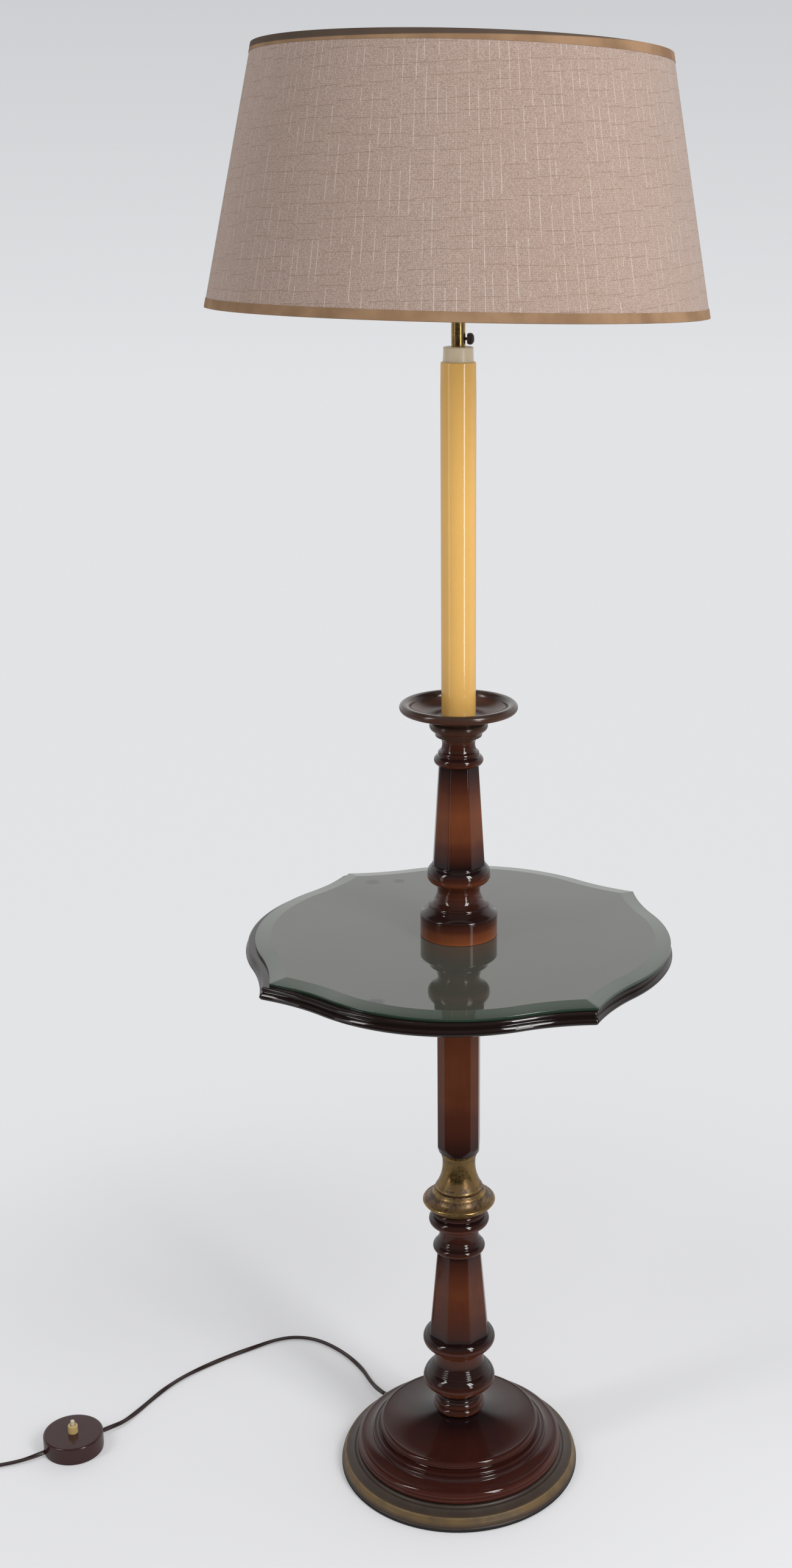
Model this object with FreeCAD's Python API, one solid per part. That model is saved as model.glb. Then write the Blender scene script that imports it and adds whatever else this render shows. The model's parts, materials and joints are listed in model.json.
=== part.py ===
"""Floor lamp with a tray table: turned wooden column, glass-topped table, candle and drum shade.

Millimetres, +Z up.  The origin is the centre of the base on the floor.  X runs to the right and
Y away from the viewer, who stands on the -Y side.  One solid, or one group of equal solids, per file.
"""
import FreeCAD, Part
import os
from math import asin, atan, atan2, cos, pi, radians, sin, sqrt, tan

V = FreeCAD.Vector
ORIGIN = V(0, 0, 0)
UP = V(0, 0, 1)

# ---- driving dimensions ----------------------------------------------------------------------
# base
BASE_RADIUS = 146.3
PAD_HEIGHT = 3.5
RING_TOP = 22.5
RING_WALL = 2.2
WEIGHT_RADIUS = 117.0
TIER_RADIUS = 125.1
DISC_RADIUS = 97.2
DOME_TOP = 73.0

# threaded tube through the whole column
TUBE_RADIUS = 5.0
TUBE_BORE = 3.6
TUBE_LOW = 10.6
TUBE_HIGH = 984.0
AXLE_HOLE = 5.3
FLEX_RADIUS = 2.4

# column
LOWER_TOP = 352.0
DISH_RADIUS = 43.1
NECK_LOW = 378.0
SHAFT_LOW = 425.5
RIDGE_COUNT = 4
RIDGE_STEP_IN = 1.33
RIDGE_STEP_UP = 2.13
SHAFT_FLATS = 48.2
SHAFT_FACE = 29.8
SHAFT_TURN = -4.0
LOWER_TURN = -1.0
UPPER_TURN = 3.0

# table
TABLE_LOW = 681.0
WOOD_THICK = 16.0
GLASS_THICK = 6.0
GLASS_SHIFT = 4.5
GLASS_BEVEL = 18.0
TABLE_TURN = -10.8
SIDE_REACH = 238.0
CORNER_REACH = 178.0
BULGE_RADIUS = 200.0
BULGE_HALF = 105.0
PLATE_RADIUS = 60.0
PLATE_THICK = 4.0
SCREW_CIRCLE = 46.0

# candle
PAN_LOW = 931.0
PAN_FLOOR = 961.0
CANDLE_TOP = 1344.0
CANDLE_RADIUS = 19.1
CANDLE_WALL = 1.6
CAP_TOP = 1359.5

# telescopic stem and its clamp
STEM_RADIUS = 7.5
STEM_LOW = 970.0
STEM_TOP = 1400.0
SLIDER_RADIUS = 6.0
SLIDER_PLAY = 0.06
SLIDER_LOW = 1225.0
CLAMP_HEIGHT = 1367.6
SHANK_RADIUS = 1.6
KNOB_START = 9.1
KNOB_LENGTH = 7.6
KNOB_RADIUS = 6.1

# lamp holder and bulb
HOLDER_LOW = 1428.0
HOLDER_SHELL_LOW = 1448.0
HOLDER_TOP = 1492.0
HOLDER_RADIUS = 20.0
CARRIER_HEIGHT = 1467.6
BULB_RADIUS = 30.0
BULB_TOP = 1560.0

# shade
SHADE_LOW = 1395.4
SHADE_TOP = 1650.0
SHADE_LOW_RADIUS = 261.3
SHADE_TOP_RADIUS = 211.5
SHADE_SHIFT = 2.0
SHADE_BACK_DROP = 1.01
SHADE_RIGHT_DROP = 1.13
CLOTH = 0.8
TAPE = 0.5
TAPE_WIDTH = 9.5
HOOP_WIRE = 1.6
ARM_WIRE = 1.7
ARM_AZIMUTH = -163.0
ARM_COUNT = 4

# foot switch
SWITCH_X = -485.5
SWITCH_Y = 20.5
SWITCH_RADIUS = 37.1
SWITCH_TOP = 23.0
SWITCH_WALL = 2.0
SWITCH_FLOOR = 3.0
COLLAR_HEIGHT = 10.2
BUTTON_TOP = 40.0
BUTTON_RADIUS = 2.6
BUTTON_TRAVEL = 3.0

# flat twin flex, its coil and its plug
CORD = 5.6
CORD_Z = 2.9
CORD_EXIT = 8.5
GROMMET_AZIMUTH = 129.5
GROMMET_END = 152.0
COIL_X = -652.0
COIL_Y = 14.0
COIL_OUTER = 42.0
COIL_PITCH = 6.2
COIL_TURNS = 7.25
COIL_FLOOR = 4.0
PLUG_LENGTH = 36.0
PLUG_WIDTH = 27.0
PLUG_THICK = 14.0
PIN_RADIUS = 2.0
PIN_LENGTH = 19.0
PIN_SPACING = 19.0

# the lead from the base to the switch, and on from the switch to the coil
ROUTE_TO_SWITCH = [
    (-96.7, 117.3, 8.5), (-106.3, 129.2, 7.0), (-117.0, 151.0, 3.8), (-130.5, 184.0, 2.9),
    (-156.2, 220.3, 2.9), (-191.6, 250.8, 2.9), (-224.4, 259.4, 2.9), (-252.6, 252.3, 2.9),
    (-279.8, 234.4, 2.9), (-310.7, 214.4, 2.9), (-341.1, 190.8, 2.9), (-367.9, 166.6, 2.9),
    (-388.0, 140.8, 2.9), (-403.1, 114.9, 2.9), (-417.5, 88.5, 3.0), (-431.0, 66.5, 4.3),
    (-444.3, 53.6, 6.2),
]
ROUTE_TO_COIL = [
    (-534.5, -7.4, 5.2), (-556.0, -14.6, 3.4), (-584.0, -22.0, 3.2), (-616.5, -28.0, 4.0),
    (-646.4, -28.0, 4.0),
]
SWITCH_IN = 38.0
SWITCH_OUT = 209.0


# ---- helpers ---------------------------------------------------------------------------------
def save(name, shape):
    shape.exportStep("parts/%s.step" % name)
    solids = len(shape.Solids)
    print("%-18s solids %d  volume %9.0f  valid %s" % (name, solids, shape.Volume, shape.isValid()))


def tube(outer, inner, low, high):
    return Part.makeCylinder(outer, high - low, V(0, 0, low)).cut(
        Part.makeCylinder(inner, high - low + 2, V(0, 0, low - 1)))


def turned(outline):
    """Solid of revolution about Z.  (r, z) is a straight run; (rm, zm, r, z) an arc by way of (rm, zm)."""
    edges = []
    here = outline[0]
    for step in outline[1:] + [outline[0]]:
        start = V(here[0], 0, here[1])
        end = V(step[-2], 0, step[-1])
        if len(step) == 4:
            edges.append(Part.Arc(start, V(step[0], 0, step[1]), end).toShape())
        else:
            edges.append(Part.makeLine(start, end))
        here = step[-2:]
    return Part.Face(Part.Wire(edges)).revolve(ORIGIN, UP, 360)


def octagon(flats, face, z, turn):
    """Square of width flats with chamfered corners, whose four main faces are face wide."""
    half = flats / 2
    side = face / 2
    corners = [(side, -half), (half, -side), (half, side), (side, half),
               (-side, half), (-half, side), (-half, -side), (-side, -half)]
    a = radians(turn)
    points = [V(x * cos(a) - y * sin(a), x * sin(a) + y * cos(a), z) for x, y in corners]
    return Part.makePolygon(points + points[:1])


def taper(low, low_flats, high, high_flats, turn):
    """Tapering regular octagon between two heights, with the hole for the axle tube."""
    face = sqrt(2) - 1
    wires = [octagon(low_flats, low_flats * face, low, turn),
             octagon(high_flats, high_flats * face, high, turn)]
    solid = Part.makeLoft(wires, True, True)
    return solid.cut(Part.makeCylinder(AXLE_HOLE, high - low + 2, V(0, 0, low - 1)))


def hexagon_nut(width, low, high, bore):
    corner = width / sqrt(3)
    points = [V(corner * cos(k * pi / 3), corner * sin(k * pi / 3), low) for k in range(6)]
    nut = Part.Face(Part.makePolygon(points + points[:1])).extrude(V(0, 0, high - low))
    return nut.cut(Part.makeCylinder(bore, high - low + 2, V(0, 0, low - 1)))


def rod(start, end, radius):
    along = end - start
    return Part.makeCylinder(radius, along.Length, start, along)


def bent_path(points, name=""):
    """Straight runs joined by tangent arcs, each as large as its two runs allow."""
    points = [V(*p) for p in points]
    edges = []
    radii = []
    here = points[0]
    for before, corner, after in zip(points, points[1:], points[2:]):
        to_corner = (corner - before).normalize()
        onward = (after - corner).normalize()
        turn = to_corner.getAngle(onward)
        reach = 0.45 * min((corner - before).Length, (after - corner).Length)
        radii.append(reach / tan(turn / 2))
        start = corner - to_corner * reach
        end = corner + onward * reach
        edges.append(Part.makeLine(here, start))
        edges.append(Part.Arc(start, arc_middle(start, corner, end), end).toShape())
        here = end
    edges.append(Part.makeLine(here, points[-1]))
    if name:
        print("%-18s smallest bend %.0f, bends %s" % (name, min(radii), [round(r) for r in radii]))
    return Part.Wire(edges)


def arc_middle(start, corner, end):
    """Middle of the arc from start to end whose two end tangents meet at corner."""
    chord_middle = (start + end) * 0.5
    rise = corner - chord_middle
    half_chord = (end - start).Length / 2
    half_turn = atan2(rise.Length, half_chord)
    return chord_middle + rise.normalize() * (half_chord * tan(half_turn / 2))


def wire_along(path, diameter):
    start = path.Edges[0].valueAt(path.Edges[0].FirstParameter)
    heading = path.Edges[0].tangentAt(path.Edges[0].FirstParameter)
    ring = Part.Wire([Part.makeCircle(diameter / 2, start, heading)])
    return path.makePipeShell([ring], True, False)


def lead(name, points):
    path = bent_path(points, name)
    solid = wire_along(path, CORD)
    expected = pi * CORD ** 2 / 4 * path.Length
    share = solid.Volume / expected
    print("%-18s length %.0f, volume / (section x length) %.4f" % (name, path.Length, share))
    save(name, solid)
    return path.Length


# ---- base ------------------------------------------------------------------------------------
def grommet_point(radius, z):
    a = radians(GROMMET_AZIMUTH)
    return V(radius * cos(a), radius * sin(a), z)


def base():
    save("base_pad", turned([
        (0, 0), (BASE_RADIUS - 1.2, 0), (BASE_RADIUS, 1.2), (BASE_RADIUS, PAD_HEIGHT - 0.5),
        (BASE_RADIUS - 0.5, PAD_HEIGHT), (0, PAD_HEIGHT)]))
    inner_lip = 100.0
    ring = turned([
        (143.6, PAD_HEIGHT), (145.8, PAD_HEIGHT), (146.3, 4.6, 145.5, 5.6), (145.0, 6.6),
        (145.2, 9.5, 144.0, 12.0), (141.8, 16.6), (141.0, 17.1), (136.0, 18.2, 131.2, 20.4),
        (130.4, 20.8), (127.6, 20.9, 126.0, RING_TOP), (inner_lip, RING_TOP),
        (inner_lip, RING_TOP - RING_WALL), (124.6, RING_TOP - RING_WALL), (130.0, 18.2),
        (140.2, 14.6), (142.0, 11.0)])
    weight_step = RING_TOP - RING_WALL
    nut_recess = 17.0
    recess_top = 16.6
    washer_low = recess_top - 1.6
    weight = turned([(nut_recess, PAD_HEIGHT), (WEIGHT_RADIUS, PAD_HEIGHT), (WEIGHT_RADIUS, weight_step),
                     (inner_lip - 0.5, weight_step), (inner_lip - 0.5, RING_TOP), (AXLE_HOLE, RING_TOP),
                     (AXLE_HOLE, recess_top), (nut_recess, recess_top)])
    channel = rod(grommet_point(8, CORD_EXIT - 0.9), grommet_point(WEIGHT_RADIUS + 2, CORD_EXIT - 0.9), 4.0)
    hole = rod(grommet_point(120, CORD_EXIT), grommet_point(160, CORD_EXIT), 4.2)
    ring = ring.cut(hole)
    save("base_ring", ring)
    save("base_weight", weight.cut(channel))
    save("base_washer", tube(14.0, AXLE_HOLE, washer_low, recess_top))
    save("base_nut", hexagon_nut(17.0, TUBE_LOW + 0.4, washer_low, AXLE_HOLE - 0.3))

    wood = turned([
        (AXLE_HOLE, RING_TOP), (121.5, RING_TOP), (124.6, 24.0, TIER_RADIUS, 30.0),
        (124.6, 35.0, 120.5, 37.6), (113.0, 38.6, 107.6, 41.4), (107.0, 44.0),
        (106.2, 45.4, 104.6, 45.6), (102.4, 45.8), (101.6, 48.0, 99.6, 48.4), (96.2, 48.6),
        (94.6, 50.0), (97.0, 51.6, DISC_RADIUS, 54.4), (96.6, 58.4, 92.5, 59.8),
        (60.0, 63.2, 32.0, 71.4), (28.0, DOME_TOP), (12.2, DOME_TOP), (12.2, 62.0),
        (AXLE_HOLE, 62.0)])
    save("base_wood", wood)

    rim = BASE_RADIUS - 1.1
    bore = 3.4
    grommet = turned([(2.9, 131), (4.1, 131), (4.1, rim), (4.9, rim), (4.9, rim + 1.6), (4.4, rim + 2.2),
                      (bore, GROMMET_END), (2.9, GROMMET_END)])
    grommet.rotate(ORIGIN, V(0, 1, 0), 90)
    grommet.rotate(ORIGIN, UP, GROMMET_AZIMUTH)
    grommet.translate(V(0, 0, CORD_EXIT))
    save("cord_grommet", grommet.cut(ring))


# ---- column ----------------------------------------------------------------------------------
def axle():
    save("centre_tube", tube(TUBE_RADIUS, TUBE_BORE, TUBE_LOW, TUBE_HIGH))
    low = 6.6
    path = bent_path([tuple(grommet_point(140, CORD_EXIT)), tuple(grommet_point(14.5, low)),
                      (0, 0, low), (0, 0, TUBE_HIGH)])
    save("inner_flex", wire_along(path, 2 * FLEX_RADIUS))


def ridges(radius, low):
    """Fine ridges, each a step further in and up than the one before."""
    arcs = []
    for k in range(RIDGE_COUNT):
        inward = RIDGE_STEP_IN * k
        rise = RIDGE_STEP_UP * k
        arcs.append((radius - 0.3 - inward, low + 1.3 + rise,
                     radius - RIDGE_STEP_IN - inward, low + RIDGE_STEP_UP + rise))
    return arcs


def lower_column():
    foot = turned([
        (AXLE_HOLE, 62.4), (12.0, 62.4), (12.0, DOME_TOP), (24.5, DOME_TOP), (27.2, 75.6),
        (31.4, 80.1, 29.2, 83.9), (28.7, 84.3), (29.7, 87.4, 27.2, 91.4), (26.9, 94.2),
        (26.2, 94.9), (25.9, 99.0, 28.6, 102.6), (29.0, 102.8), (33.6, 105.6, 38.2, 109.9),
        (43.3, 115.4, 43.0, 122.9), (41.3, 126.6, 38.6, 129.8), (36.4, 131.6), (36.0, 132.1)]
        + ridges(36.0, 132.1) + [
        (29.9, 146.0, 29.6, 151.5), (31.2, 159.5, 36.0, 163.9), (43.9, 173.6, 36.0, 182.9),
        (AXLE_HOLE, 182.9)])
    head = turned([
        (AXLE_HOLE, 294.3), (26.4, 294.3), (31.3, 299.5, 29.0, 303.8), (27.2, 305.2),
        (26.6, 307.4, 25.6, 308.8), (25.2, 310.0, 24.3, 311.2), (23.6, 316.0, 23.5, 321.0),
        (24.9, 326.6, 28.4, 329.6), (36.1, 336.2, 30.6, 342.8), (30.4, 344.05),
        (33.8, 348.0, 30.4, 351.95), (AXLE_HOLE, LOWER_TOP)])
    middle = taper(182.5, 2 * 35.15, 294.6, 2 * 25.7, LOWER_TURN)
    save("lower_column", foot.fuse([middle, head]).removeSplitter())


def brasses():
    save("brass_dish", turned([
        (AXLE_HOLE, LOWER_TOP), (32.4, LOWER_TOP), (33.6, 352.6), (37.5, 355.0, 42.2, 359.8),
        (DISH_RADIUS, 361.2), (DISH_RADIUS + 0.1, 362.6, 42.0, 364.0), (40.2, 364.9), (39.6, 364.8),
        (36.0, 366.8, 32.9, 371.2), (31.6, 374.0, 30.2, 375.2), (29.7, 376.8, 28.6, 377.6),
        (27.3, NECK_LOW), (AXLE_HOLE, NECK_LOW)]))
    save("brass_neck", turned([
        (AXLE_HOLE, NECK_LOW), (27.3, NECK_LOW), (28.2, 379.2, 27.5, 381.0), (22.4, 392.2, 20.0, 402.5),
        (19.5, 410.5, 20.0, 419.2), (20.7, 419.8), (21.2, 422.4, 20.8, 425.0), (20.3, SHAFT_LOW),
        (AXLE_HOLE, SHAFT_LOW)]))


def shaft():
    top = TABLE_LOW - PLATE_THICK
    section = Part.Face(octagon(SHAFT_FLATS, SHAFT_FACE, SHAFT_LOW, SHAFT_TURN))
    prism = section.extrude(V(0, 0, top - SHAFT_LOW))
    rounded = turned([
        (AXLE_HOLE, SHAFT_LOW), (22.4, SHAFT_LOW), (23.9, SHAFT_LOW + 1.2, 24.7, SHAFT_LOW + 3.4),
        (34.0, SHAFT_LOW + 24.5), (34.0, top), (AXLE_HOLE, top)])
    save("shaft", prism.common(rounded))


# ---- table -----------------------------------------------------------------------------------
def bracket_outline(offset, z, shift=0.0):
    """Four-sided outline: a long bulge on each side and hollow runs into four pointed corners.

    offset moves the whole outline outward.  The hollow arcs leave the bulges without a kink, and
    their radius follows from the corner that they have to reach.
    """
    half_angle = asin(BULGE_HALF / BULGE_RADIUS)
    bulge_centre = SIDE_REACH - BULGE_RADIUS
    ux = sin(half_angle)
    uy = cos(half_angle)
    wx = CORNER_REACH
    wy = CORNER_REACH - bulge_centre
    along = ux * wx + uy * wy
    hollow = (2 * BULGE_RADIUS * along - BULGE_RADIUS ** 2 - wx ** 2 - wy ** 2) / (2 * (BULGE_RADIUS - along))
    cx = (BULGE_RADIUS + hollow) * ux
    cy = bulge_centre + (BULGE_RADIUS + hollow) * uy
    radius = hollow - offset
    reach = ((cx + cy) - sqrt((cx + cy) ** 2 - 2 * (cx ** 2 + cy ** 2 - radius ** 2))) / 2
    joint = ((BULGE_RADIUS + offset) * ux, bulge_centre + (BULGE_RADIUS + offset) * uy)
    to_joint = atan2(joint[1] - cy, joint[0] - cx)
    to_corner = atan2(reach - cy, reach - cx)
    middle_angle = (to_joint + to_corner) / 2
    hollow_middle = (cx + radius * cos(middle_angle), cy + radius * sin(middle_angle))
    top = (0.0, SIDE_REACH + offset)
    side = [((-reach, reach), (-hollow_middle[0], hollow_middle[1]), (-joint[0], joint[1])),
            ((-joint[0], joint[1]), top, joint),
            (joint, hollow_middle, (reach, reach))]
    edges = []
    for quarter in range(4):
        a = radians(TABLE_TURN - 90 * quarter)
        for arc in side:
            ends = [V(x * cos(a) - y * sin(a) + shift, x * sin(a) + y * cos(a), z) for x, y in arc]
            edges.append(Part.Arc(*ends).toShape())
    return Part.Wire(edges)


def table():
    wood_top = TABLE_LOW + WOOD_THICK
    plate = tube(PLATE_RADIUS, AXLE_HOLE, TABLE_LOW - PLATE_THICK, TABLE_LOW)
    save("table_plate", plate.cut(screw_group(2.3)))
    save("table_screws", screw_group(2.1).fuse(screw_heads()))
    edge = [(0.0, -3.0), (0.8, 2.6), (2.6, 5.2), (5.0, 6.6), (7.0, 6.2), (8.8, 4.8), (9.8, 2.6),
            (10.4, 2.2), (11.4, 3.6), (13.6, 4.2), (15.2, 3.4), (WOOD_THICK, 1.6)]
    wood = Part.makeLoft([bracket_outline(out, TABLE_LOW + up) for up, out in edge], True, True)
    wood = wood.cut(Part.makeCylinder(AXLE_HOLE, WOOD_THICK + 2, V(0, 0, TABLE_LOW - 1)))
    save("table_top", wood.cut(screw_group(2.1)))
    edge = [(0.0, -0.6), (0.6, 0.0), (GLASS_THICK - 2.4, 0.0), (GLASS_THICK, -GLASS_BEVEL)]
    glass = Part.makeLoft([bracket_outline(out, wood_top + up, GLASS_SHIFT) for up, out in edge], True, True)
    save("glass_top", glass.cut(Part.makeCylinder(15.0, GLASS_THICK + 2, V(0, 0, wood_top - 1))))


def screw_places():
    angles = [radians(45 + 90 * k) for k in range(4)]
    return [V(SCREW_CIRCLE * cos(a), SCREW_CIRCLE * sin(a), 0) for a in angles]


def screw_group(radius):
    length = PLATE_THICK + 11.0
    low = V(0, 0, TABLE_LOW - PLATE_THICK)
    return Part.makeCompound([Part.makeCylinder(radius, length, place + low) for place in screw_places()])


def screw_heads():
    low = V(0, 0, TABLE_LOW - PLATE_THICK - 2.4)
    return Part.makeCompound([Part.makeCone(2.6, 4.2, 2.4, place + low) for place in screw_places()])


def upper_column():
    foot_low = TABLE_LOW + WOOD_THICK + GLASS_THICK
    foot = turned([
        (AXLE_HOLE, foot_low), (43.4, foot_low), (44.0, foot_low + 0.6), (44.0, 726.8),
        (43.8, 729.2, 42.4, 730.4), (39.0, 733.2, 36.1, 736.6), (34.5, 738.2), (33.9, 740.3, 31.9, 741.2),
        (31.6, 741.4), (30.2, 743.0), (27.0, 746.6, 25.4, 751.0), (24.2, 757.0, 25.6, 761.4),
        (28.4, 764.6, 31.9, 766.9), (35.0, 770.0, 35.9, 774.6), (34.8, 781.2, 31.1, 785.6),
        (30.2, 788.2), (AXLE_HOLE, 788.2)])
    head = turned([
        (AXLE_HOLE, 904.5), (22.4, 904.5), (27.65, 910.0, 23.6, 915.3), (22.9, 916.2), (22.7, 916.6),
        (23.1, 918.2, 20.4, 921.0), (18.6, 926.5, 18.6, PAN_LOW), (AXLE_HOLE, PAN_LOW)])
    middle = taper(788.0, 2 * 28.9, 905.0, 2 * 21.95, UPPER_TURN)
    save("upper_column", foot.fuse([middle, head]).removeSplitter())


# ---- candle, stem and clamp ------------------------------------------------------------------
def candle():
    save("candle_pan", turned([
        (AXLE_HOLE, PAN_LOW), (18.6, PAN_LOW), (19.9, 934.0, 25.2, 937.3), (26.0, 938.0),
        (26.3, 940.6), (28.2, 943.6), (32.6, 949.0, 29.4, 954.7), (32.4, 955.8), (35.6, 957.6),
        (48.0, 961.6, 59.0, 965.8), (65.7, 970.4, 59.5, 975.0), (56.0, 974.0, 52.9, 969.6),
        (40.0, 962.8, 24.0, PAN_FLOOR), (AXLE_HOLE, PAN_FLOOR)]))
    save("pan_nut", hexagon_nut(17.0, PAN_FLOOR, STEM_LOW - 1.0, AXLE_HOLE - 0.3))
    inside = CANDLE_RADIUS - CANDLE_WALL
    save("candle_tube", turned([
        (inside, PAN_FLOOR), (CANDLE_RADIUS, PAN_FLOOR), (CANDLE_RADIUS, CANDLE_TOP - 0.8),
        (CANDLE_RADIUS - 0.8, CANDLE_TOP), (inside, CANDLE_TOP)]))
    bore = STEM_RADIUS + 0.05
    save("candle_cap", turned([
        (bore, CANDLE_TOP - 9), (inside - 0.1, CANDLE_TOP - 9), (inside - 0.1, CANDLE_TOP - 0.6),
        (16.4, CANDLE_TOP), (15.9, CAP_TOP - 2.4), (15.6, CAP_TOP - 0.5, 13.8, CAP_TOP), (bore, CAP_TOP)]))


def stem():
    barrel = tube(STEM_RADIUS, SLIDER_RADIUS + SLIDER_PLAY, STEM_LOW, STEM_TOP)
    thread_hole = Part.makeCylinder(SHANK_RADIUS + 0.05, 12, V(2, 0, CLAMP_HEIGHT), V(1, 0, 0))
    save("outer_tube", barrel.cut(thread_hole))
    save("tube_coupler", tube(SLIDER_RADIUS + SLIDER_PLAY, TUBE_RADIUS + 0.05, STEM_LOW, TUBE_HIGH))
    save("inner_tube", tube(SLIDER_RADIUS, 4.5, SLIDER_LOW, HOLDER_LOW + 8))


def clamp():
    tip = SLIDER_RADIUS + SLIDER_PLAY + 0.1
    save("clamp_screw", rod(V(tip, 0, CLAMP_HEIGHT), V(KNOB_START + 5.0, 0, CLAMP_HEIGHT), SHANK_RADIUS))
    barrel = turned([(0, 0), (4.6, 0), (5.3, 0.7), (KNOB_RADIUS, 2.6, 5.6, 5.4), (3.4, 7.2, 0.6, KNOB_LENGTH),
                     (0, KNOB_LENGTH)])
    facets = 10
    faceted = Part.Face(Part.makePolygon([
        V(KNOB_RADIUS * cos(2 * pi * k / facets), KNOB_RADIUS * sin(2 * pi * k / facets), 0)
        for k in range(facets + 1)])).extrude(V(0, 0, KNOB_LENGTH))
    knob = barrel.common(faceted)
    knob = knob.cut(Part.makeCylinder(SHANK_RADIUS + 0.05, 5.2, V(0, 0, -0.1)))
    knob.rotate(ORIGIN, V(0, 1, 0), 90)
    knob.translate(V(KNOB_START, 0, CLAMP_HEIGHT))
    save("clamp_knob", knob)


# ---- lamp holder -----------------------------------------------------------------------------
def holder():
    bore = SLIDER_RADIUS + 0.05
    save("holder_cap", turned([
        (bore, HOLDER_LOW), (9.4, HOLDER_LOW), (10.0, HOLDER_LOW + 1), (10.0, HOLDER_LOW + 5),
        (17.6, HOLDER_LOW + 8.0, 20.4, HOLDER_LOW + 15), (20.4, HOLDER_SHELL_LOW), (14.0, HOLDER_SHELL_LOW),
        (14.0, HOLDER_LOW + 12), (bore, HOLDER_LOW + 12)]))
    save("holder_shell", turned([
        (14.6, HOLDER_SHELL_LOW), (HOLDER_RADIUS, HOLDER_SHELL_LOW), (HOLDER_RADIUS, HOLDER_TOP - 1),
        (HOLDER_RADIUS - 1, HOLDER_TOP), (16.6, HOLDER_TOP), (14.6, HOLDER_TOP - 5)]))
    save("holder_insert", turned([
        (0, HOLDER_SHELL_LOW - 5), (13.8, HOLDER_SHELL_LOW - 5), (13.8, HOLDER_SHELL_LOW),
        (14.4, HOLDER_SHELL_LOW), (14.4, HOLDER_SHELL_LOW + 4), (4.0, HOLDER_SHELL_LOW + 4),
        (4.0, HOLDER_SHELL_LOW + 6), (0, HOLDER_SHELL_LOW + 6)]))
    inner = HOLDER_RADIUS + 0.1
    for name, low, high in (("shade_ring_lower", CARRIER_HEIGHT - 5.3, CARRIER_HEIGHT - 0.3),
                            ("shade_ring_upper", CARRIER_HEIGHT + 1.9, CARRIER_HEIGHT + 6.9)):
        save(name, turned([(inner, low), (27.2, low), (28.0, low + 0.8), (28.0, high - 0.8), (27.2, high),
                           (inner, high)]))


def bulb():
    contact = HOLDER_SHELL_LOW + 6.2
    neck = contact + 26.0
    flat = 1.0
    middle = BULB_TOP - sqrt(BULB_RADIUS ** 2 - flat ** 2)
    join = (BULB_RADIUS * cos(radians(40)), middle - BULB_RADIUS * sin(radians(40)))
    save("bulb_cap", turned([(0, contact), (4.4, contact), (5.2, contact + 1.0), (11.6, contact + 3.4),
                             (13.2, contact + 5.4), (13.2, neck), (0, neck)]))
    save("bulb_glass", turned([
        (0, neck), (12.9, neck), (15.0, neck + 16.2, *join), (BULB_RADIUS, middle, flat, BULB_TOP),
        (0, BULB_TOP)]))


# ---- shade -----------------------------------------------------------------------------------
LEAN = atan((SHADE_LOW_RADIUS - SHADE_TOP_RADIUS) / (SHADE_TOP - SHADE_LOW))
SLANT = (SHADE_TOP - SHADE_LOW) / cos(LEAN)


def on_slant(up, inward):
    """Radius and height of a point that lies up along the shade's wall and inward from its face."""
    radius = SHADE_LOW_RADIUS - up * sin(LEAN) - inward * cos(LEAN)
    return radius, SHADE_LOW + up * cos(LEAN) - inward * sin(LEAN)


def hang(shape):
    """Put a shade piece where the slightly bent carrier holds it."""
    centre = V(SHADE_SHIFT, 0, (SHADE_LOW + SHADE_TOP) / 2)
    shape.translate(V(SHADE_SHIFT, 0, 0))
    shape.rotate(centre, V(1, 0, 0), -SHADE_BACK_DROP)
    shape.rotate(centre, V(0, 1, 0), SHADE_RIGHT_DROP)
    return shape


def wall_ring(low, high, out, inside):
    return turned([on_slant(low, out), on_slant(high, out), on_slant(high, inside), on_slant(low, inside)])


def hoop(up):
    radius, z = on_slant(up, 2 * CLOTH + 2 * TAPE + HOOP_WIRE + 0.05)
    return Part.makeTorus(radius, HOOP_WIRE, V(0, 0, z), UP), radius, z


def shade():
    inner_face = TAPE + 2 * CLOTH
    save("shade_fabric", hang(wall_ring(TAPE, SLANT - TAPE, TAPE, TAPE + CLOTH)))
    save("shade_lining", hang(wall_ring(TAPE, SLANT - TAPE, TAPE + CLOTH, inner_face)))
    for name, edge, way in (("tape_bottom", 0.0, 1), ("tape_top", SLANT, -1)):
        fold = edge + way * TAPE
        save(name, hang(turned([
            on_slant(edge, 0), on_slant(edge + way * TAPE_WIDTH, 0), on_slant(edge + way * TAPE_WIDTH, TAPE),
            on_slant(fold, TAPE), on_slant(fold, inner_face), on_slant(edge + way * 6.0, inner_face),
            on_slant(edge + way * 6.0, inner_face + TAPE), on_slant(edge, inner_face + TAPE)])))
    save("shade_bottom_hoop", hang(hoop(2.6)[0]))
    carrier()


def carrier():
    """Flat hub that the two shade rings hold, four arms bent up from it, and the hoop they carry."""
    top_hoop, hoop_radius, hoop_z = hoop(SLANT - 2.6)
    top_hoop = hang(top_hoop)
    hub = tube(34.0, HOLDER_RADIUS + 0.6, CARRIER_HEIGHT, CARRIER_HEIGHT + 1.6)
    arms = []
    for k in range(ARM_COUNT):
        a = radians(ARM_AZIMUTH + 90 * k)
        end = hang(Part.Vertex(hoop_radius * cos(a), hoop_radius * sin(a), hoop_z)).Point
        outward = V(cos(a), sin(a), 0)
        level = V(0, 0, CARRIER_HEIGHT + 0.8)
        knee = outward * 46 + level
        path = bent_path([tuple(outward * 29.5 + level), tuple(knee), tuple(end)])
        arms.append(wire_along(path, 2 * ARM_WIRE).cut(hub).cut(top_hoop))
    save("shade_hub", hub)
    save("shade_top_hoop", top_hoop)
    save("shade_arms", Part.makeCompound(arms))


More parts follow.
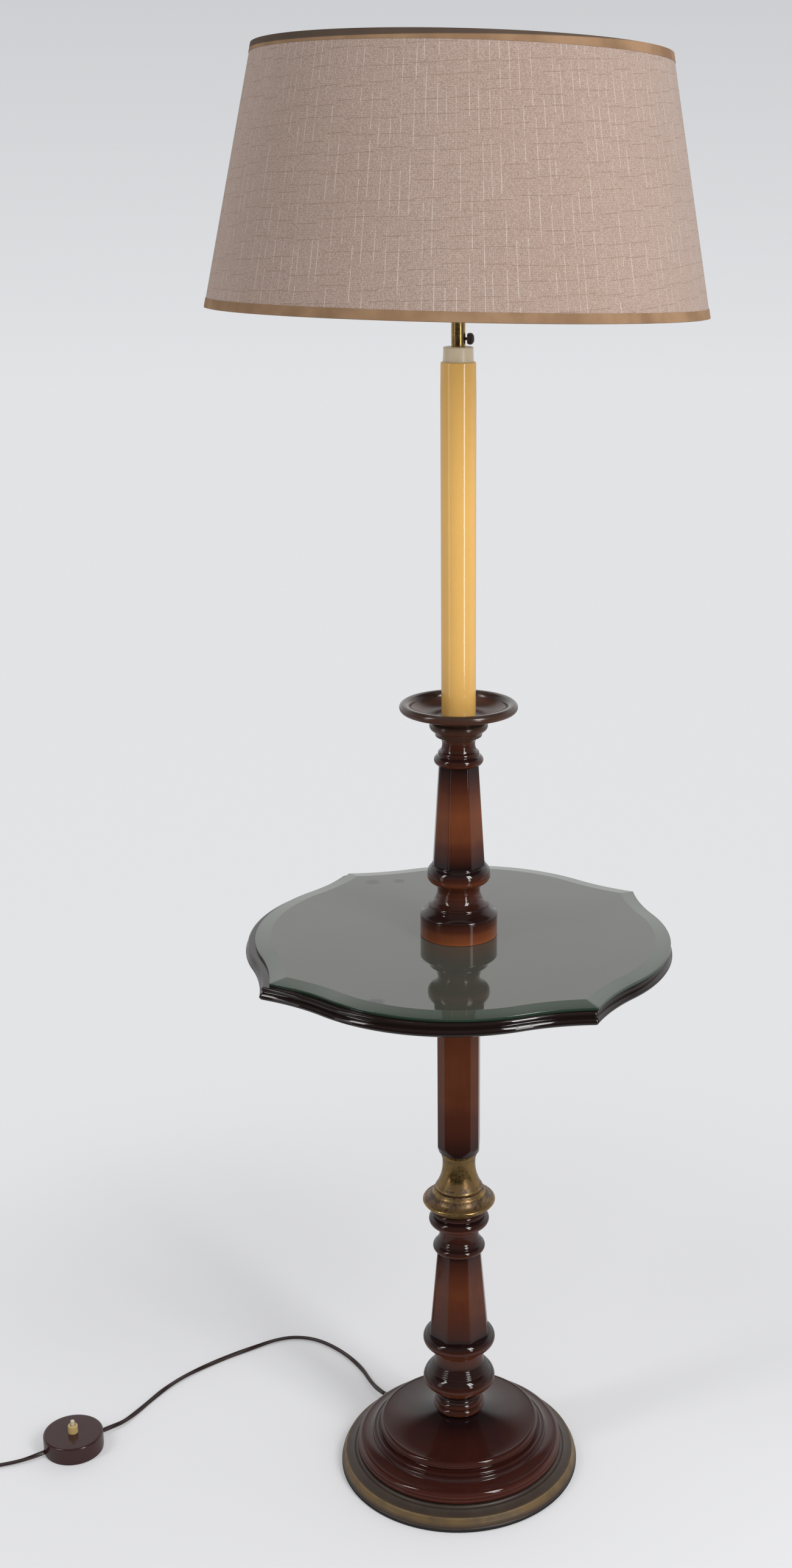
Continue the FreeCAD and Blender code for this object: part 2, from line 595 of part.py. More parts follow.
# ---- foot switch -----------------------------------------------------------------------------
def switch_rim(azimuth, radius=SWITCH_RADIUS, z=7.0):
    a = radians(azimuth)
    return V(SWITCH_X + radius * cos(a), SWITCH_Y + radius * sin(a), z)


def foot_switch():
    here = V(SWITCH_X, SWITCH_Y, 0)
    inside = SWITCH_RADIUS - SWITCH_WALL
    collar_top = SWITCH_TOP + COLLAR_HEIGHT
    housing = turned([
        (inside, SWITCH_FLOOR), (SWITCH_RADIUS, SWITCH_FLOOR), (SWITCH_RADIUS, SWITCH_TOP - 2.0),
        (SWITCH_RADIUS - 0.6, SWITCH_TOP - 0.6, SWITCH_RADIUS - 2.0, SWITCH_TOP), (4.2, SWITCH_TOP),
        (4.2, SWITCH_TOP - SWITCH_WALL), (inside, SWITCH_TOP - SWITCH_WALL)])
    housing.translate(here)
    for azimuth in (SWITCH_IN, SWITCH_OUT):
        hole = rod(switch_rim(azimuth, inside - 3), switch_rim(azimuth, SWITCH_RADIUS + 3), 3.2)
        housing = housing.cut(hole)
    save("switch_housing", housing)
    floor = turned([
        (0, 0), (inside + 0.6, 0), (SWITCH_RADIUS - 0.4, 0.6), (SWITCH_RADIUS - 0.4, SWITCH_FLOOR),
        (0, SWITCH_FLOOR)])
    block_top = SWITCH_TOP - 7.0
    block = turned([(0, SWITCH_FLOOR), (14.0, SWITCH_FLOOR), (14.0, block_top), (0, block_top)])
    bore = BUTTON_RADIUS + 0.05
    collar = turned([
        (bore, SWITCH_TOP - 5.0), (4.0, SWITCH_TOP - 5.0), (4.0, SWITCH_TOP), (6.3, SWITCH_TOP),
        (6.3, SWITCH_TOP + 0.8), (6.0, collar_top - 1.2), (5.7, collar_top - 0.3, 4.9, collar_top),
        (3.7, collar_top), (bore, collar_top - 1.6)])
    stem_low = block_top + BUTTON_TRAVEL + 0.4
    button = turned([(0, stem_low), (BUTTON_RADIUS, stem_low), (BUTTON_RADIUS, BUTTON_TOP - 1.2),
                     (1.9, BUTTON_TOP - 0.3, 0.4, BUTTON_TOP), (0, BUTTON_TOP)])
    for name, piece in (("switch_base", floor), ("switch_contacts", block), ("switch_collar", collar),
                        ("switch_button", button)):
        piece.translate(here)
        save(name, piece)


# ---- lead, coil and plug ---------------------------------------------------------------------
def coil_point(turns):
    """Point on the coil's middle line: clockwise, spiralling in on the floor and out again on top."""
    half = COIL_TURNS / 2
    radius = COIL_OUTER - COIL_PITCH * (half - abs(turns - half))
    climb = min(max((turns - half) * 2 + 0.5, 0.0), 1.0)
    angle = -pi / 2 - 2 * pi * turns
    height = COIL_FLOOR + COIL_PITCH * (3 * climb ** 2 - 2 * climb ** 3)
    return V(COIL_X + radius * cos(angle), COIL_Y + radius * sin(angle), height)


def coil_heading(turns):
    if turns in (0.0, COIL_TURNS):
        angle = -pi / 2 - 2 * pi * turns
        return V(sin(angle), -cos(angle), 0)
    step = 0.002
    return (coil_point(turns + step) - coil_point(turns - step)).normalize()


def biarc(start, start_way, end, end_way):
    """Two arcs that join two points with the given headings."""
    across = end - start
    both = start_way + end_way
    square = 4 - both.dot(both)
    along = across.dot(both)
    if square < 1e-9:
        reach = across.dot(across) / (2 * along)
    else:
        reach = (sqrt(along ** 2 + square * across.dot(across)) - along) / square
    first = start + start_way * reach
    second = end - end_way * reach
    joint = (first + second) * 0.5
    return [Part.Arc(start, arc_middle(start, first, joint), joint).toShape(),
            Part.Arc(joint, arc_middle(joint, second, end), end).toShape()]


def least_coil_gap():
    samples = 40
    count = int(COIL_TURNS * samples) + 1
    points = [coil_point(k / samples) for k in range(count)]
    least = 1e9
    for i in range(count):
        for j in range(i + samples // 2, count):
            least = min(least, (points[i] - points[j]).Length)
    return least - CORD


def coil():
    """One unbroken tube in quarter turns, straight for one diameter at both ends."""
    quarters = int(COIL_TURNS * 4)
    stations = [k / 4 for k in range(quarters + 1)]
    points = [coil_point(t) for t in stations]
    ways = [coil_heading(t) for t in stations]
    edges = [Part.makeLine(points[0] - ways[0] * CORD, points[0])]
    for k in range(quarters):
        edges += biarc(points[k], ways[k], points[k + 1], ways[k + 1])
    end = points[-1] + ways[-1] * CORD
    edges.append(Part.makeLine(points[-1], end))
    path = Part.Wire(edges)
    gap = least_coil_gap()
    print("cord_coil          length %.0f, turns %.2f, least gap %.2f" % (path.Length, COIL_TURNS, gap))
    save("cord_coil", wire_along(path, CORD))
    return path.Length, end


def coil_tie():
    """Flat band round the bundle on the side away from the lead's two ends."""
    turns_in = COIL_TURNS / 2
    inner = COIL_OUTER - COIL_PITCH * turns_in - CORD / 2 - 1.0
    outer = COIL_OUTER + CORD / 2 + 0.9
    low = COIL_FLOOR - CORD / 2 - 0.5
    high = COIL_FLOOR + COIL_PITCH + CORD / 2 + 0.6
    wall = 0.6
    width = 7.0

    def rounded_block(grow, fillet):
        block = Part.makeBox(outer - inner + 2 * grow, width, high - low + 2 * grow,
                             V(inner - grow, -width / 2, low - grow))
        return block.makeFillet(fillet, [edge for edge in block.Edges if abs(edge.tangentAt(0).y) > 0.9])
    band = rounded_block(wall, 1.6)
    opening = rounded_block(0, 1.0)
    band = band.cut(opening)
    band.rotate(ORIGIN, UP, 30)
    band.translate(V(COIL_X, COIL_Y, 0))
    save("coil_tie", band)


def plug(tail_end):
    """Two-pin plug lying flat beside the coil, its pins pointing away from it."""
    start = tail_end
    z = start.z

    rings = []
    length = 14 + PLUG_LENGTH
    for along, width, thick in ((0, 9.0, 8.6), (14, 11.0, 10.0), (22, 17.0, 12.0), (30, 24.0, 13.6),
                                (40, PLUG_WIDTH, PLUG_THICK), (length, PLUG_WIDTH - 1, PLUG_THICK - 0.4)):
        oval = Part.Ellipse(V(0, 0, 0), width / 2, thick / 2).toShape()
        ring = Part.Wire([oval])
        ring.rotate(ORIGIN, V(1, 0, 0), 90)
        ring.translate(V(start.x, start.y + along, z))
        rings.append(ring)
    body = Part.makeLoft(rings, True, False)
    face = start.y + length
    pins = []
    for side in (-PIN_SPACING / 2, PIN_SPACING / 2):
        pin = turned([(0, -8), (1.6, -8), (1.6, 0), (PIN_RADIUS, 0), (PIN_RADIUS, PIN_LENGTH - PIN_RADIUS),
                      (PIN_RADIUS - 0.5, PIN_LENGTH - 0.5, 0.6, PIN_LENGTH), (0, PIN_LENGTH)])
        pin.rotate(ORIGIN, V(1, 0, 0), -90)
        pin.translate(V(start.x + side, face, z))
        pins.append(pin)
        body = body.cut(rod(V(start.x + side, face - 8.1, z), V(start.x + side, face + 1, z), 1.65))
    save("plug_body", body)
    save("plug_pins", Part.makeCompound(pins))


def cords():
    inside = SWITCH_RADIUS - SWITCH_WALL - 1.5
    to_switch = lead("cord_to_switch", ROUTE_TO_SWITCH + [tuple(switch_rim(SWITCH_IN, inside))])
    to_coil = lead("cord_to_coil", [tuple(switch_rim(SWITCH_OUT, inside))] + ROUTE_TO_COIL)
    coil_length, coil_end = coil()
    coil_tie()
    plug_z = PLUG_THICK / 2 + 0.1
    tail = [coil_end, coil_end + V(0, 13, 0), coil_end + V(0.4, 26, -1.6),
            V(coil_end.x + 0.2, coil_end.y + 40, plug_z), V(coil_end.x + 0.2, coil_end.y + 53, plug_z)]
    tail_length = lead("cord_tail", tail)
    plug(V(*tail[-1]))
    total = to_coil + coil_length + tail_length
    whole = to_switch + total
    print("lead: base to switch %.0f, switch to plug %.0f, in all %.0f" % (to_switch, total, whole))


def main():
    os.makedirs("parts", exist_ok=True)
    base()
    axle()
    lower_column()
    brasses()
    shaft()
    table()
    upper_column()
    candle()
    stem()
    clamp()
    holder()
    bulb()
    shade()
    foot_switch()
    cords()


main()
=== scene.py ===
"""Floor lamp with table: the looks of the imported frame.  Lengths are written in mm and turned into metres."""
import bmesh
import bpy
import json
from math import asin, atan, atan2, cos, pi, radians, sin, sqrt, tau
from mathutils import Matrix, Vector


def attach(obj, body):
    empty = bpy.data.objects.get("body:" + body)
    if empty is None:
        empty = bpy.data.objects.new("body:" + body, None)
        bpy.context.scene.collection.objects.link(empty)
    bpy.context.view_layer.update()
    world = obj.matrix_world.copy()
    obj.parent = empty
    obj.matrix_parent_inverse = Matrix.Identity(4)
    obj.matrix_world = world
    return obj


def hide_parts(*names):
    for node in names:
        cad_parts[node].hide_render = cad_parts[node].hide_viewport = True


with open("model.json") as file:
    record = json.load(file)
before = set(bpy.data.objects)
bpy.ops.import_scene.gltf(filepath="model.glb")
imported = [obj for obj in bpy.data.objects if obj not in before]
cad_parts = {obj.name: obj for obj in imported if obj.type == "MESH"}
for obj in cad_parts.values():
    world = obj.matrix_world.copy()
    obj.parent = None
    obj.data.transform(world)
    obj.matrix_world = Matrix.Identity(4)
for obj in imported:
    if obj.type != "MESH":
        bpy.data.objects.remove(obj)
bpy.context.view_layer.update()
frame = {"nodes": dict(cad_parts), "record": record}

MM = 0.001
LOOKS = {}


# ---- camera ----------------------------------------------------------------------------------
PHOTO_WIDE, PHOTO_TALL = 1301, 2576
FOCAL_PIXELS = 3133.8
OPTICAL_AXIS_X = 795.68
SENSOR = 36.0
YAW, PITCH, ROLL = radians(0.808), radians(17.037), radians(0.192)
CAMERA_PLACE = (0, -2.0414, 1.5067)


def make_camera():
    """The photograph's viewpoint: 2 m in front of the lamp, 1.5 m up, looking 17 degrees down."""
    forward = Vector((sin(YAW) * cos(PITCH), cos(YAW) * cos(PITCH), -sin(PITCH)))
    level = forward.cross(Vector((0, 0, 1))).normalized()
    upright = level.cross(forward)
    right = level * cos(ROLL) + upright * sin(ROLL)
    up = upright * cos(ROLL) - level * sin(ROLL)
    data = bpy.data.cameras.new("camera")
    data.sensor_fit = "AUTO"
    data.sensor_width = SENSOR
    data.lens = SENSOR * FOCAL_PIXELS / PHOTO_TALL
    data.shift_x = (PHOTO_WIDE / 2 - OPTICAL_AXIS_X) / PHOTO_TALL
    data.clip_start = 0.05
    data.clip_end = 60
    camera = bpy.data.objects.new("camera", data)
    turn = Matrix((right, up, -forward)).transposed().to_4x4()
    camera.matrix_world = Matrix.Translation(CAMERA_PLACE) @ turn
    bpy.context.collection.objects.link(camera)
    bpy.context.scene.camera = camera


# ---- node graphs -----------------------------------------------------------------------------
class Graph:
    """Short ways to add nodes to a tree; place is the texture coordinate that its patterns follow."""

    def __init__(self, tree, coordinate):
        self.tree = tree
        self.place = self.add("ShaderNodeTexCoord").outputs[coordinate]

    def add(self, kind, **settings):
        node = self.tree.nodes.new(kind)
        for key, value in settings.items():
            setattr(node, key, value)
        return node

    def feed(self, socket, value):
        """Link an output, or set a value; a colour is written as three numbers."""
        if isinstance(value, bpy.types.NodeSocket):
            self.tree.links.new(value, socket)
        elif socket.type == "RGBA":
            socket.default_value = (*value, 1)
        else:
            socket.default_value = value

    def feed_all(self, node, *values):
        for socket, value in zip(node.inputs, values):
            self.feed(socket, value)
        return node

    def math(self, operation, *values, clamp=False):
        node = self.add("ShaderNodeMath", operation=operation, use_clamp=clamp)
        return self.feed_all(node, *values).outputs[0]

    def plus(self, first, second, clamp=False):
        return self.math("ADD", first, second, clamp=clamp)

    def minus(self, first, second):
        return self.math("SUBTRACT", first, second)

    def times(self, first, second):
        return self.math("MULTIPLY", first, second)

    def axes(self):
        return self.feed_all(self.add("ShaderNodeSeparateXYZ"), self.place).outputs

    def stretch(self, scale, shift=(0, 0, 0)):
        node = self.add("ShaderNodeMapping")
        self.feed(node.inputs["Vector"], self.place)
        node.inputs["Scale"].default_value = scale
        node.inputs["Location"].default_value = shift
        return node.outputs[0]

    def noise(self, scale, vector=None, detail=2.0, roughness=0.5):
        node = self.add("ShaderNodeTexNoise")
        self.feed(node.inputs["Vector"], vector or self.place)
        node.inputs["Scale"].default_value = scale
        node.inputs["Detail"].default_value = detail
        node.inputs["Roughness"].default_value = roughness
        return node.outputs["Fac"]

    def span(self, value, low, high, to_low=0.0, to_high=1.0, interpolation="SMOOTHSTEP"):
        node = self.add("ShaderNodeMapRange", interpolation_type=interpolation)
        return self.feed_all(node, value, low, high, to_low, to_high).outputs[0]

    def mix(self, amount, first, second, blend="MIX"):
        node = self.add("ShaderNodeMix", data_type="RGBA", blend_type=blend)
        self.feed(node.inputs[0], amount)
        self.feed(node.inputs[6], first)
        self.feed(node.inputs[7], second)
        return node.outputs[2]

    def mix_shaders(self, amount, first, second):
        return self.feed_all(self.add("ShaderNodeMixShader"), amount, first.outputs[0], second.outputs[0])

    def ramp(self, value, *stops):
        node = self.add("ShaderNodeValToRGB")
        self.feed(node.inputs[0], value)
        marks = node.color_ramp.elements
        while len(marks) < len(stops):
            marks.new(0.5)
        for mark, (position, colour) in zip(marks, stops):
            mark.position = position
            mark.color = (*colour, 1)
        return node.outputs[0]


class Finish(Graph):
    """A Principled material, kept in LOOKS under its name.  Its patterns follow the object's own metres."""

    def __init__(self, name, **sockets):
        material = bpy.data.materials.new(name)
        material.use_nodes = True
        super().__init__(material.node_tree, "Object")
        self.shader = self.tree.nodes["Principled BSDF"]
        for socket, value in sockets.items():
            self.shader.inputs[socket.replace("_", " ")].default_value = value
        LOOKS[name] = material

    def painted_tone(self):
        return self.add("ShaderNodeAttribute", attribute_name="tone").outputs["Fac"]

    def colour(self, value):
        self.feed(self.shader.inputs["Base Color"], value)

    def rough(self, value):
        self.feed(self.shader.inputs["Roughness"], value)

    def metallic(self, value):
        self.feed(self.shader.inputs["Metallic"], value)

    def bump(self, height, strength, depth):
        node = self.add("ShaderNodeBump")
        node.inputs["Strength"].default_value = strength
        node.inputs["Distance"].default_value = depth
        self.feed(node.inputs["Height"], height)
        self.feed(self.shader.inputs["Normal"], node.outputs[0])


# ---- meshes ----------------------------------------------------------------------------------
def new_piece(name, points, faces, look, body="stand", stands_for=(), slot=None, tone=None):
    """Mesh from points in mm, with the material of its look.  The slot argument is not used."""
    mesh = bpy.data.meshes.new(name)
    mesh.from_pydata([(x * MM, y * MM, z * MM) for x, y, z in points], [], faces)
    mesh.polygons.foreach_set("use_smooth", [True] * len(mesh.polygons))
    if tone:
        values = mesh.attributes.new("tone", "FLOAT", "POINT")
        values.data.foreach_set("value", tone)
    mesh.materials.append(LOOKS[look])
    mesh.update()
    piece = bpy.data.objects.new(name, mesh)
    bpy.context.collection.objects.link(piece)
    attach(piece, body)
    for node in stands_for:
        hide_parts(node)
    return piece


def gap(a, b):
    return sqrt((b[0] - a[0]) ** 2 + (b[1] - a[1]) ** 2)


def circle_through(a, b, c):
    """Centre of the circle through three points of the plane, or None where they are in line."""
    (ax, ay), (bx, by), (cx, cy) = a, b, c
    d = 2 * (ax * (by - cy) + bx * (cy - ay) + cx * (ay - by))
    if abs(d) < 1e-9:
        return None
    aa, bb, cc = ax * ax + ay * ay, bx * bx + by * by, cx * cx + cy * cy
    return ((aa * (by - cy) + bb * (cy - ay) + cc * (ay - by)) / d,
            (aa * (cx - bx) + bb * (ax - cx) + cc * (bx - ax)) / d)


BEND = 0.16
NEARLY_ONE = 0.999
ON_AXIS = 0.02
CORNER_SHARE = 0.4


def arc_points(a, b, c, step):
    """Points after a, up to and including c, on the arc from a by way of b; none turns by more than BEND."""
    centre = circle_through(a, b, c)
    if centre is None:
        return [c]
    radius = gap(centre, a)
    first, middle, last = [atan2(p[1] - centre[1], p[0] - centre[0]) for p in (a, b, c)]
    sweep = (last - first) % tau
    if (middle - first) % tau > sweep:
        sweep -= tau
    count = max(2, int(abs(sweep) * radius / step + NEARLY_ONE), int(abs(sweep) / BEND + NEARLY_ONE))
    return [(centre[0] + radius * cos(first + sweep * k / count),
             centre[1] + radius * sin(first + sweep * k / count)) for k in range(1, count)] + [c]


def straight_points(a, b, step):
    count = max(1, int(gap(a, b) / step))
    return [(a[0] + (b[0] - a[0]) * k / count, a[1] + (b[1] - a[1]) * k / count) for k in range(1, count + 1)]


def outline_runs(outline, step, closed):
    """The outline's straight runs and arcs, each as (r, z, facets) points at most about a step apart."""
    runs = []
    here, facets = outline[0][:2], (outline[0][2] if len(outline[0]) == 3 else 0)
    for entry in list(outline[1:]) + ([outline[0]] if closed else []):
        if len(entry) == 4:
            end, end_facets = tuple(entry[2:]), 0
            inner = arc_points(here, tuple(entry[:2]), end, step)
        else:
            end, end_facets = tuple(entry[:2]), (entry[2] if len(entry) == 3 else 0)
            inner = straight_points(here, end, step)
        n = len(inner)
        runs.append([(*here, facets)] + [(p[0], p[1], facets + (end_facets - facets) * (k + 1) / n)
                                         for k, p in enumerate(inner)])
        here, facets = end, end_facets
    return runs


def cut(run, distance):
    """The run without its last stretch, which is distance long."""
    run = list(run)
    while len(run) > 2:
        last = gap(run[-2], run[-1])
        if last > distance:
            break
        distance -= last
        run.pop()
    share = min(0.45, distance / max(1e-9, gap(run[-2], run[-1])))
    run[-1] = tuple(e + (s - e) * share for e, s in zip(run[-1], run[-2]))
    return run


def is_corner(before, after):
    corner = before[-1]
    u = Vector((corner[0] - before[-2][0], corner[1] - before[-2][1]))
    v = Vector((after[1][0] - corner[0], after[1][1] - corner[1]))
    return u.length > 1e-9 and v.length > 1e-9 and u.angle(v) > BEND


def smooth_outline(outline, soft, step=1.6, closed=True):
    """Dense points along an outline of runs (r, z[, facets]) and arcs (rm, zm, r, z), its corners rounded."""
    runs = outline_runs(outline, step, closed)
    total = len(runs)
    corners = {}
    for k in range(total if closed else total - 1):
        if is_corner(runs[k], runs[(k + 1) % total]):
            corners[k] = runs[k][-1]
    lengths = [sum(gap(a, b) for a, b in zip(run, run[1:])) for run in runs]
    for k in corners:
        after = (k + 1) % total
        distance = min(soft, CORNER_SHARE * lengths[k], CORNER_SHARE * lengths[after])
        runs[k] = cut(runs[k], distance)
        runs[after] = cut(runs[after][::-1], distance)[::-1]
    points = []
    for k, run in enumerate(runs):
        points += run[1:] if points and (k - 1) not in corners else run
        if k in corners:
            ends = (run[-1], corners[k], runs[(k + 1) % total][0])
            for t in (0.25, 0.5, 0.75):
                points.append(tuple((1 - t) ** 2 * p + 2 * t * (1 - t) * q + t ** 2 * r
                                    for p, q, r in zip(*ends)))
    if closed and (total - 1) not in corners:
        points.pop()
    return points


def polygon_share(theta, faces, sharpness=70.0):
    """Radius in direction theta of a soft-cornered polygon, faces being (azimuth, distance) pairs."""
    total = 0.0
    for azimuth, distance in faces:
        facing = cos(theta - azimuth) / distance
        if facing > 0:
            total += facing ** sharpness
    return total ** (-1.0 / sharpness)


def octagon_faces(turn):
    return [(radians(turn) + k * pi / 4, 1.0) for k in range(8)]


def skin(rings, segments):
    """Faces between each ring of point numbers and the next; a ring of one point lies on the axis."""
    faces = []
    for low, high in zip(rings, rings[1:] + rings[:1]):
        if len(low) == 1 and len(high) == 1:
            continue
        for k in range(segments):
            n = (k + 1) % segments
            if len(low) == 1:
                faces.append((low[0], high[n], high[k]))
            elif len(high) == 1:
                faces.append((low[k], low[n], high[0]))
            else:
                faces.append((low[k], low[n], high[n], high[k]))
    return faces


def lathe(name, node, outline, look, soft=0.4, segments=144, faces=None, reach=None, tone=None, centre=(0, 0),
          step=1.6, **more):
    """Turned piece that stands for a node.  faces shapes the faceted stretches, reach(theta, r, z) may
    change a radius, and tone(r, z) is painted on the points."""
    angles = [tau * k / segments for k in range(segments)]
    shares = [polygon_share(t, faces) if faces else 1.0 for t in angles]
    points, tones, rings = [], [], []
    for r, z, facets in smooth_outline(outline, soft, step):
        on_axis = r < ON_AXIS
        ring = []
        for k, t in enumerate(angles[:1] if on_axis else angles):
            radius = 0.0 if on_axis else r * (1 - facets + facets * shares[k])
            if reach and not on_axis:
                radius = reach(t, radius, z)
            ring.append(len(points))
            points.append((centre[0] + radius * cos(t), centre[1] + radius * sin(t), z))
            if tone:
                tones.append(tone(radius, z))
        rings.append(ring)
    piece = new_piece(name, points, skin(rings, segments), look, stands_for=[node], tone=tones, **more)
    mend(piece)
    return piece


def mend(piece):
    """Outward normals, and big faces that keep their own direction next to small rounded ones."""
    mesh = bmesh.new()
    mesh.from_mesh(piece.data)
    bmesh.ops.remove_doubles(mesh, verts=mesh.verts, dist=1e-7)
    bmesh.ops.recalc_face_normals(mesh, faces=mesh.faces)
    mesh.to_mesh(piece.data)
    mesh.free()
    weighted = piece.modifiers.new("even_shading", "WEIGHTED_NORMAL")
    weighted.keep_sharp = True
    weighted.weight = 80


def loft(name, rings, look, closed=False, **more):
    """Skin over rings of equally many points, capped at both ends unless the last ring joins the first."""
    points = [p for ring in rings for p in ring]
    n = len(rings[0])
    faces = []
    for i in range(len(rings) if closed else len(rings) - 1):
        a, b = i * n, ((i + 1) % len(rings)) * n
        faces += [(a + k, a + (k + 1) % n, b + (k + 1) % n, b + k) for k in range(n)]
    if not closed:
        faces.append(tuple(range(n - 1, -1, -1)))
        faces.append(tuple(range((len(rings) - 1) * n, len(rings) * n)))
    piece = new_piece(name, points, faces, look, **more)
    mend(piece)
    return piece


# ---- materials -------------------------------------------------------------------------------
FOOT_TOP = (0.0722, 0.0738)
PAN_LOW = (0.929, 0.934)


def lacquered(name, dark, middle, light, gloss=0.04):
    """Turned hardwood under dark lacquer; the painted tone is partly wear, the dark colour rubbed through on
    high points, and partly painted light: painted shade in the coves and where parts meet, painted glow on the
    bead bellies.
    """
    g = Finish(name, Specular_IOR_Level=0.38)
    grain = g.noise(1.0, g.stretch((420, 420, 14)), detail=3, roughness=0.6)
    figure = g.noise(1.0, g.stretch((60, 60, 5), shift=(3, 1, 2)), detail=2)
    cloud = g.noise(26, detail=3)
    tone = g.painted_tone()
    spread = g.plus(g.times(tone, 0.3), 0.10)
    mottle = g.plus(g.times(g.minus(grain, 0.5), 0.30), g.times(g.minus(figure, 0.5), 0.35))
    mottle = g.plus(mottle, g.times(g.minus(cloud, 0.5), 0.45))
    tone = g.plus(tone, g.times(mottle, spread), clamp=True)
    # Colour from the tone: rubbed-through wear with painted shade in hollows and painted glow on beads mixed
    # in.
    stain_and_painted_shade = g.ramp(tone, (0.10, dark), (0.52, middle), (1.0, light))
    height = g.axes()[2]
    redder = g.mix(1.0, stain_and_painted_shade, (1.08, 0.95, 1.12), blend="MULTIPLY")
    stain_and_painted_shade = g.mix(g.span(height, *FOOT_TOP, 1.0, 0.0), stain_and_painted_shade, redder)
    dusty = g.span(height, *PAN_LOW, 0.0, 0.42)
    g.colour(g.mix(dusty, stain_and_painted_shade, (0.062, 0.036, 0.024)))
    smear = g.noise(70, detail=4, roughness=0.6)
    polish = g.span(smear, 0.35, 0.75, gloss, gloss + 0.06)
    g.rough(g.plus(polish, g.times(dusty, 0.3)))
    g.bump(g.noise(1.0, g.stretch((40, 40, 12)), detail=1), 0.03, 0.0004)


def tarnished(name, clean, patina, gloss, scale=55):
    """Old brass: the painted tone says how far it is rubbed bright, cloudy spots of brown stay on it."""
    g = Finish(name)
    cloud = g.noise(scale, detail=5, roughness=0.65)
    fine = g.noise(scale * 6, detail=3, roughness=0.6)
    spots = g.plus(g.times(cloud, 0.6), g.times(fine, 0.4))
    spots = g.times(g.minus(spots, 0.5), 2.3)
    bright = g.plus(g.painted_tone(), spots, clamp=True)
    g.colour(g.mix(bright, patina, clean))
    g.rough(g.span(bright, 0.0, 1.0, 0.42, gloss))
    g.metallic(g.span(bright, 0.0, 0.8, 0.35, 1.0))
    g.bump(fine, 0.08, 0.0002)


def plain(name, colour, rough, metal=0.0, speckle=0.12, scale=60, bump=0.1):
    """One colour with a little cloudiness in it and in its roughness."""
    g = Finish(name, Metallic=metal)
    cloud = g.noise(scale, detail=4, roughness=0.6)
    low = tuple(c * (1 - speckle) for c in colour)
    high = tuple(min(1.0, c * (1 + speckle)) for c in colour)
    g.colour(g.mix(cloud, low, high))
    g.rough(g.span(cloud, 0.2, 0.8, rough * 0.85, rough * 1.2))
    if bump:
        g.bump(g.noise(scale * 6, detail=2), bump, 0.0002)


def bronzed(name):
    """The ring round the foot: tone 0 is the brown cove, 0.5 the gilt band, 1 the worn ridge."""
    g = Finish(name, Metallic=0.2)
    cloud = g.noise(40, detail=4, roughness=0.6)
    fine = g.noise(420, detail=2)
    coat = g.ramp(g.painted_tone(), (0.0, (0.022, 0.016, 0.012)), (0.25, (0.050, 0.034, 0.027)),
                  (0.5, (0.175, 0.108, 0.038)), (1.0, (0.45, 0.38, 0.24)))
    rust = g.mix(fine, (0.040, 0.024, 0.015), (0.085, 0.060, 0.042))
    g.colour(g.mix(g.span(cloud, 0.35, 0.7, 0.1, 0.6), coat, rust))
    g.rough(g.span(cloud, 0.2, 0.8, 0.38, 0.52))
    g.bump(fine, 0.10, 0.0002)


WRAP_RADIUS = 236.0
DASH_SHARE = 0.86
JOG = 0.46
LANE_CENTRE = 0.25


def around_shade(g):
    """Millimetres round the shade and up its wall."""
    x, y, z = g.axes()
    angle = g.math("ARCTAN2", y, g.minus(x, SHADE["shift"] * MM))
    return g.times(angle, WRAP_RADIUS), g.times(z, 1 / MM)


def slub_lines(g, across, along, spacing, length, width, cover, seed):
    """Broken threads: one per spacing across, cut into dashes of the given length and jogged at random."""
    def toss(a, b):
        node = g.add("ShaderNodeTexWhiteNoise", noise_dimensions="2D")
        pair = g.feed_all(g.add("ShaderNodeCombineXYZ"), a, b)
        g.feed(node.inputs["Vector"], pair.outputs[0])
        return node.outputs["Value"]

    lanes = g.math("DIVIDE", across, spacing)
    lane = g.math("FLOOR", lanes)
    dash = g.plus(g.math("DIVIDE", along, length), g.times(toss(lane, seed), 7.0))
    number = g.math("FLOOR", dash)
    place = g.minus(g.math("FRACT", lanes), g.times(toss(lane, number), JOG))
    near = g.math("LESS_THAN", g.math("ABSOLUTE", g.minus(place, LANE_CENTRE)), 0.5 * width / spacing)
    there = g.math("LESS_THAN", toss(number, lane), cover)
    within = g.math("LESS_THAN", g.math("FRACT", dash), DASH_SHARE)
    return g.times(g.times(near, there), within)


def wave(g, value, period):
    return g.math("SINE", g.times(value, tau / period))


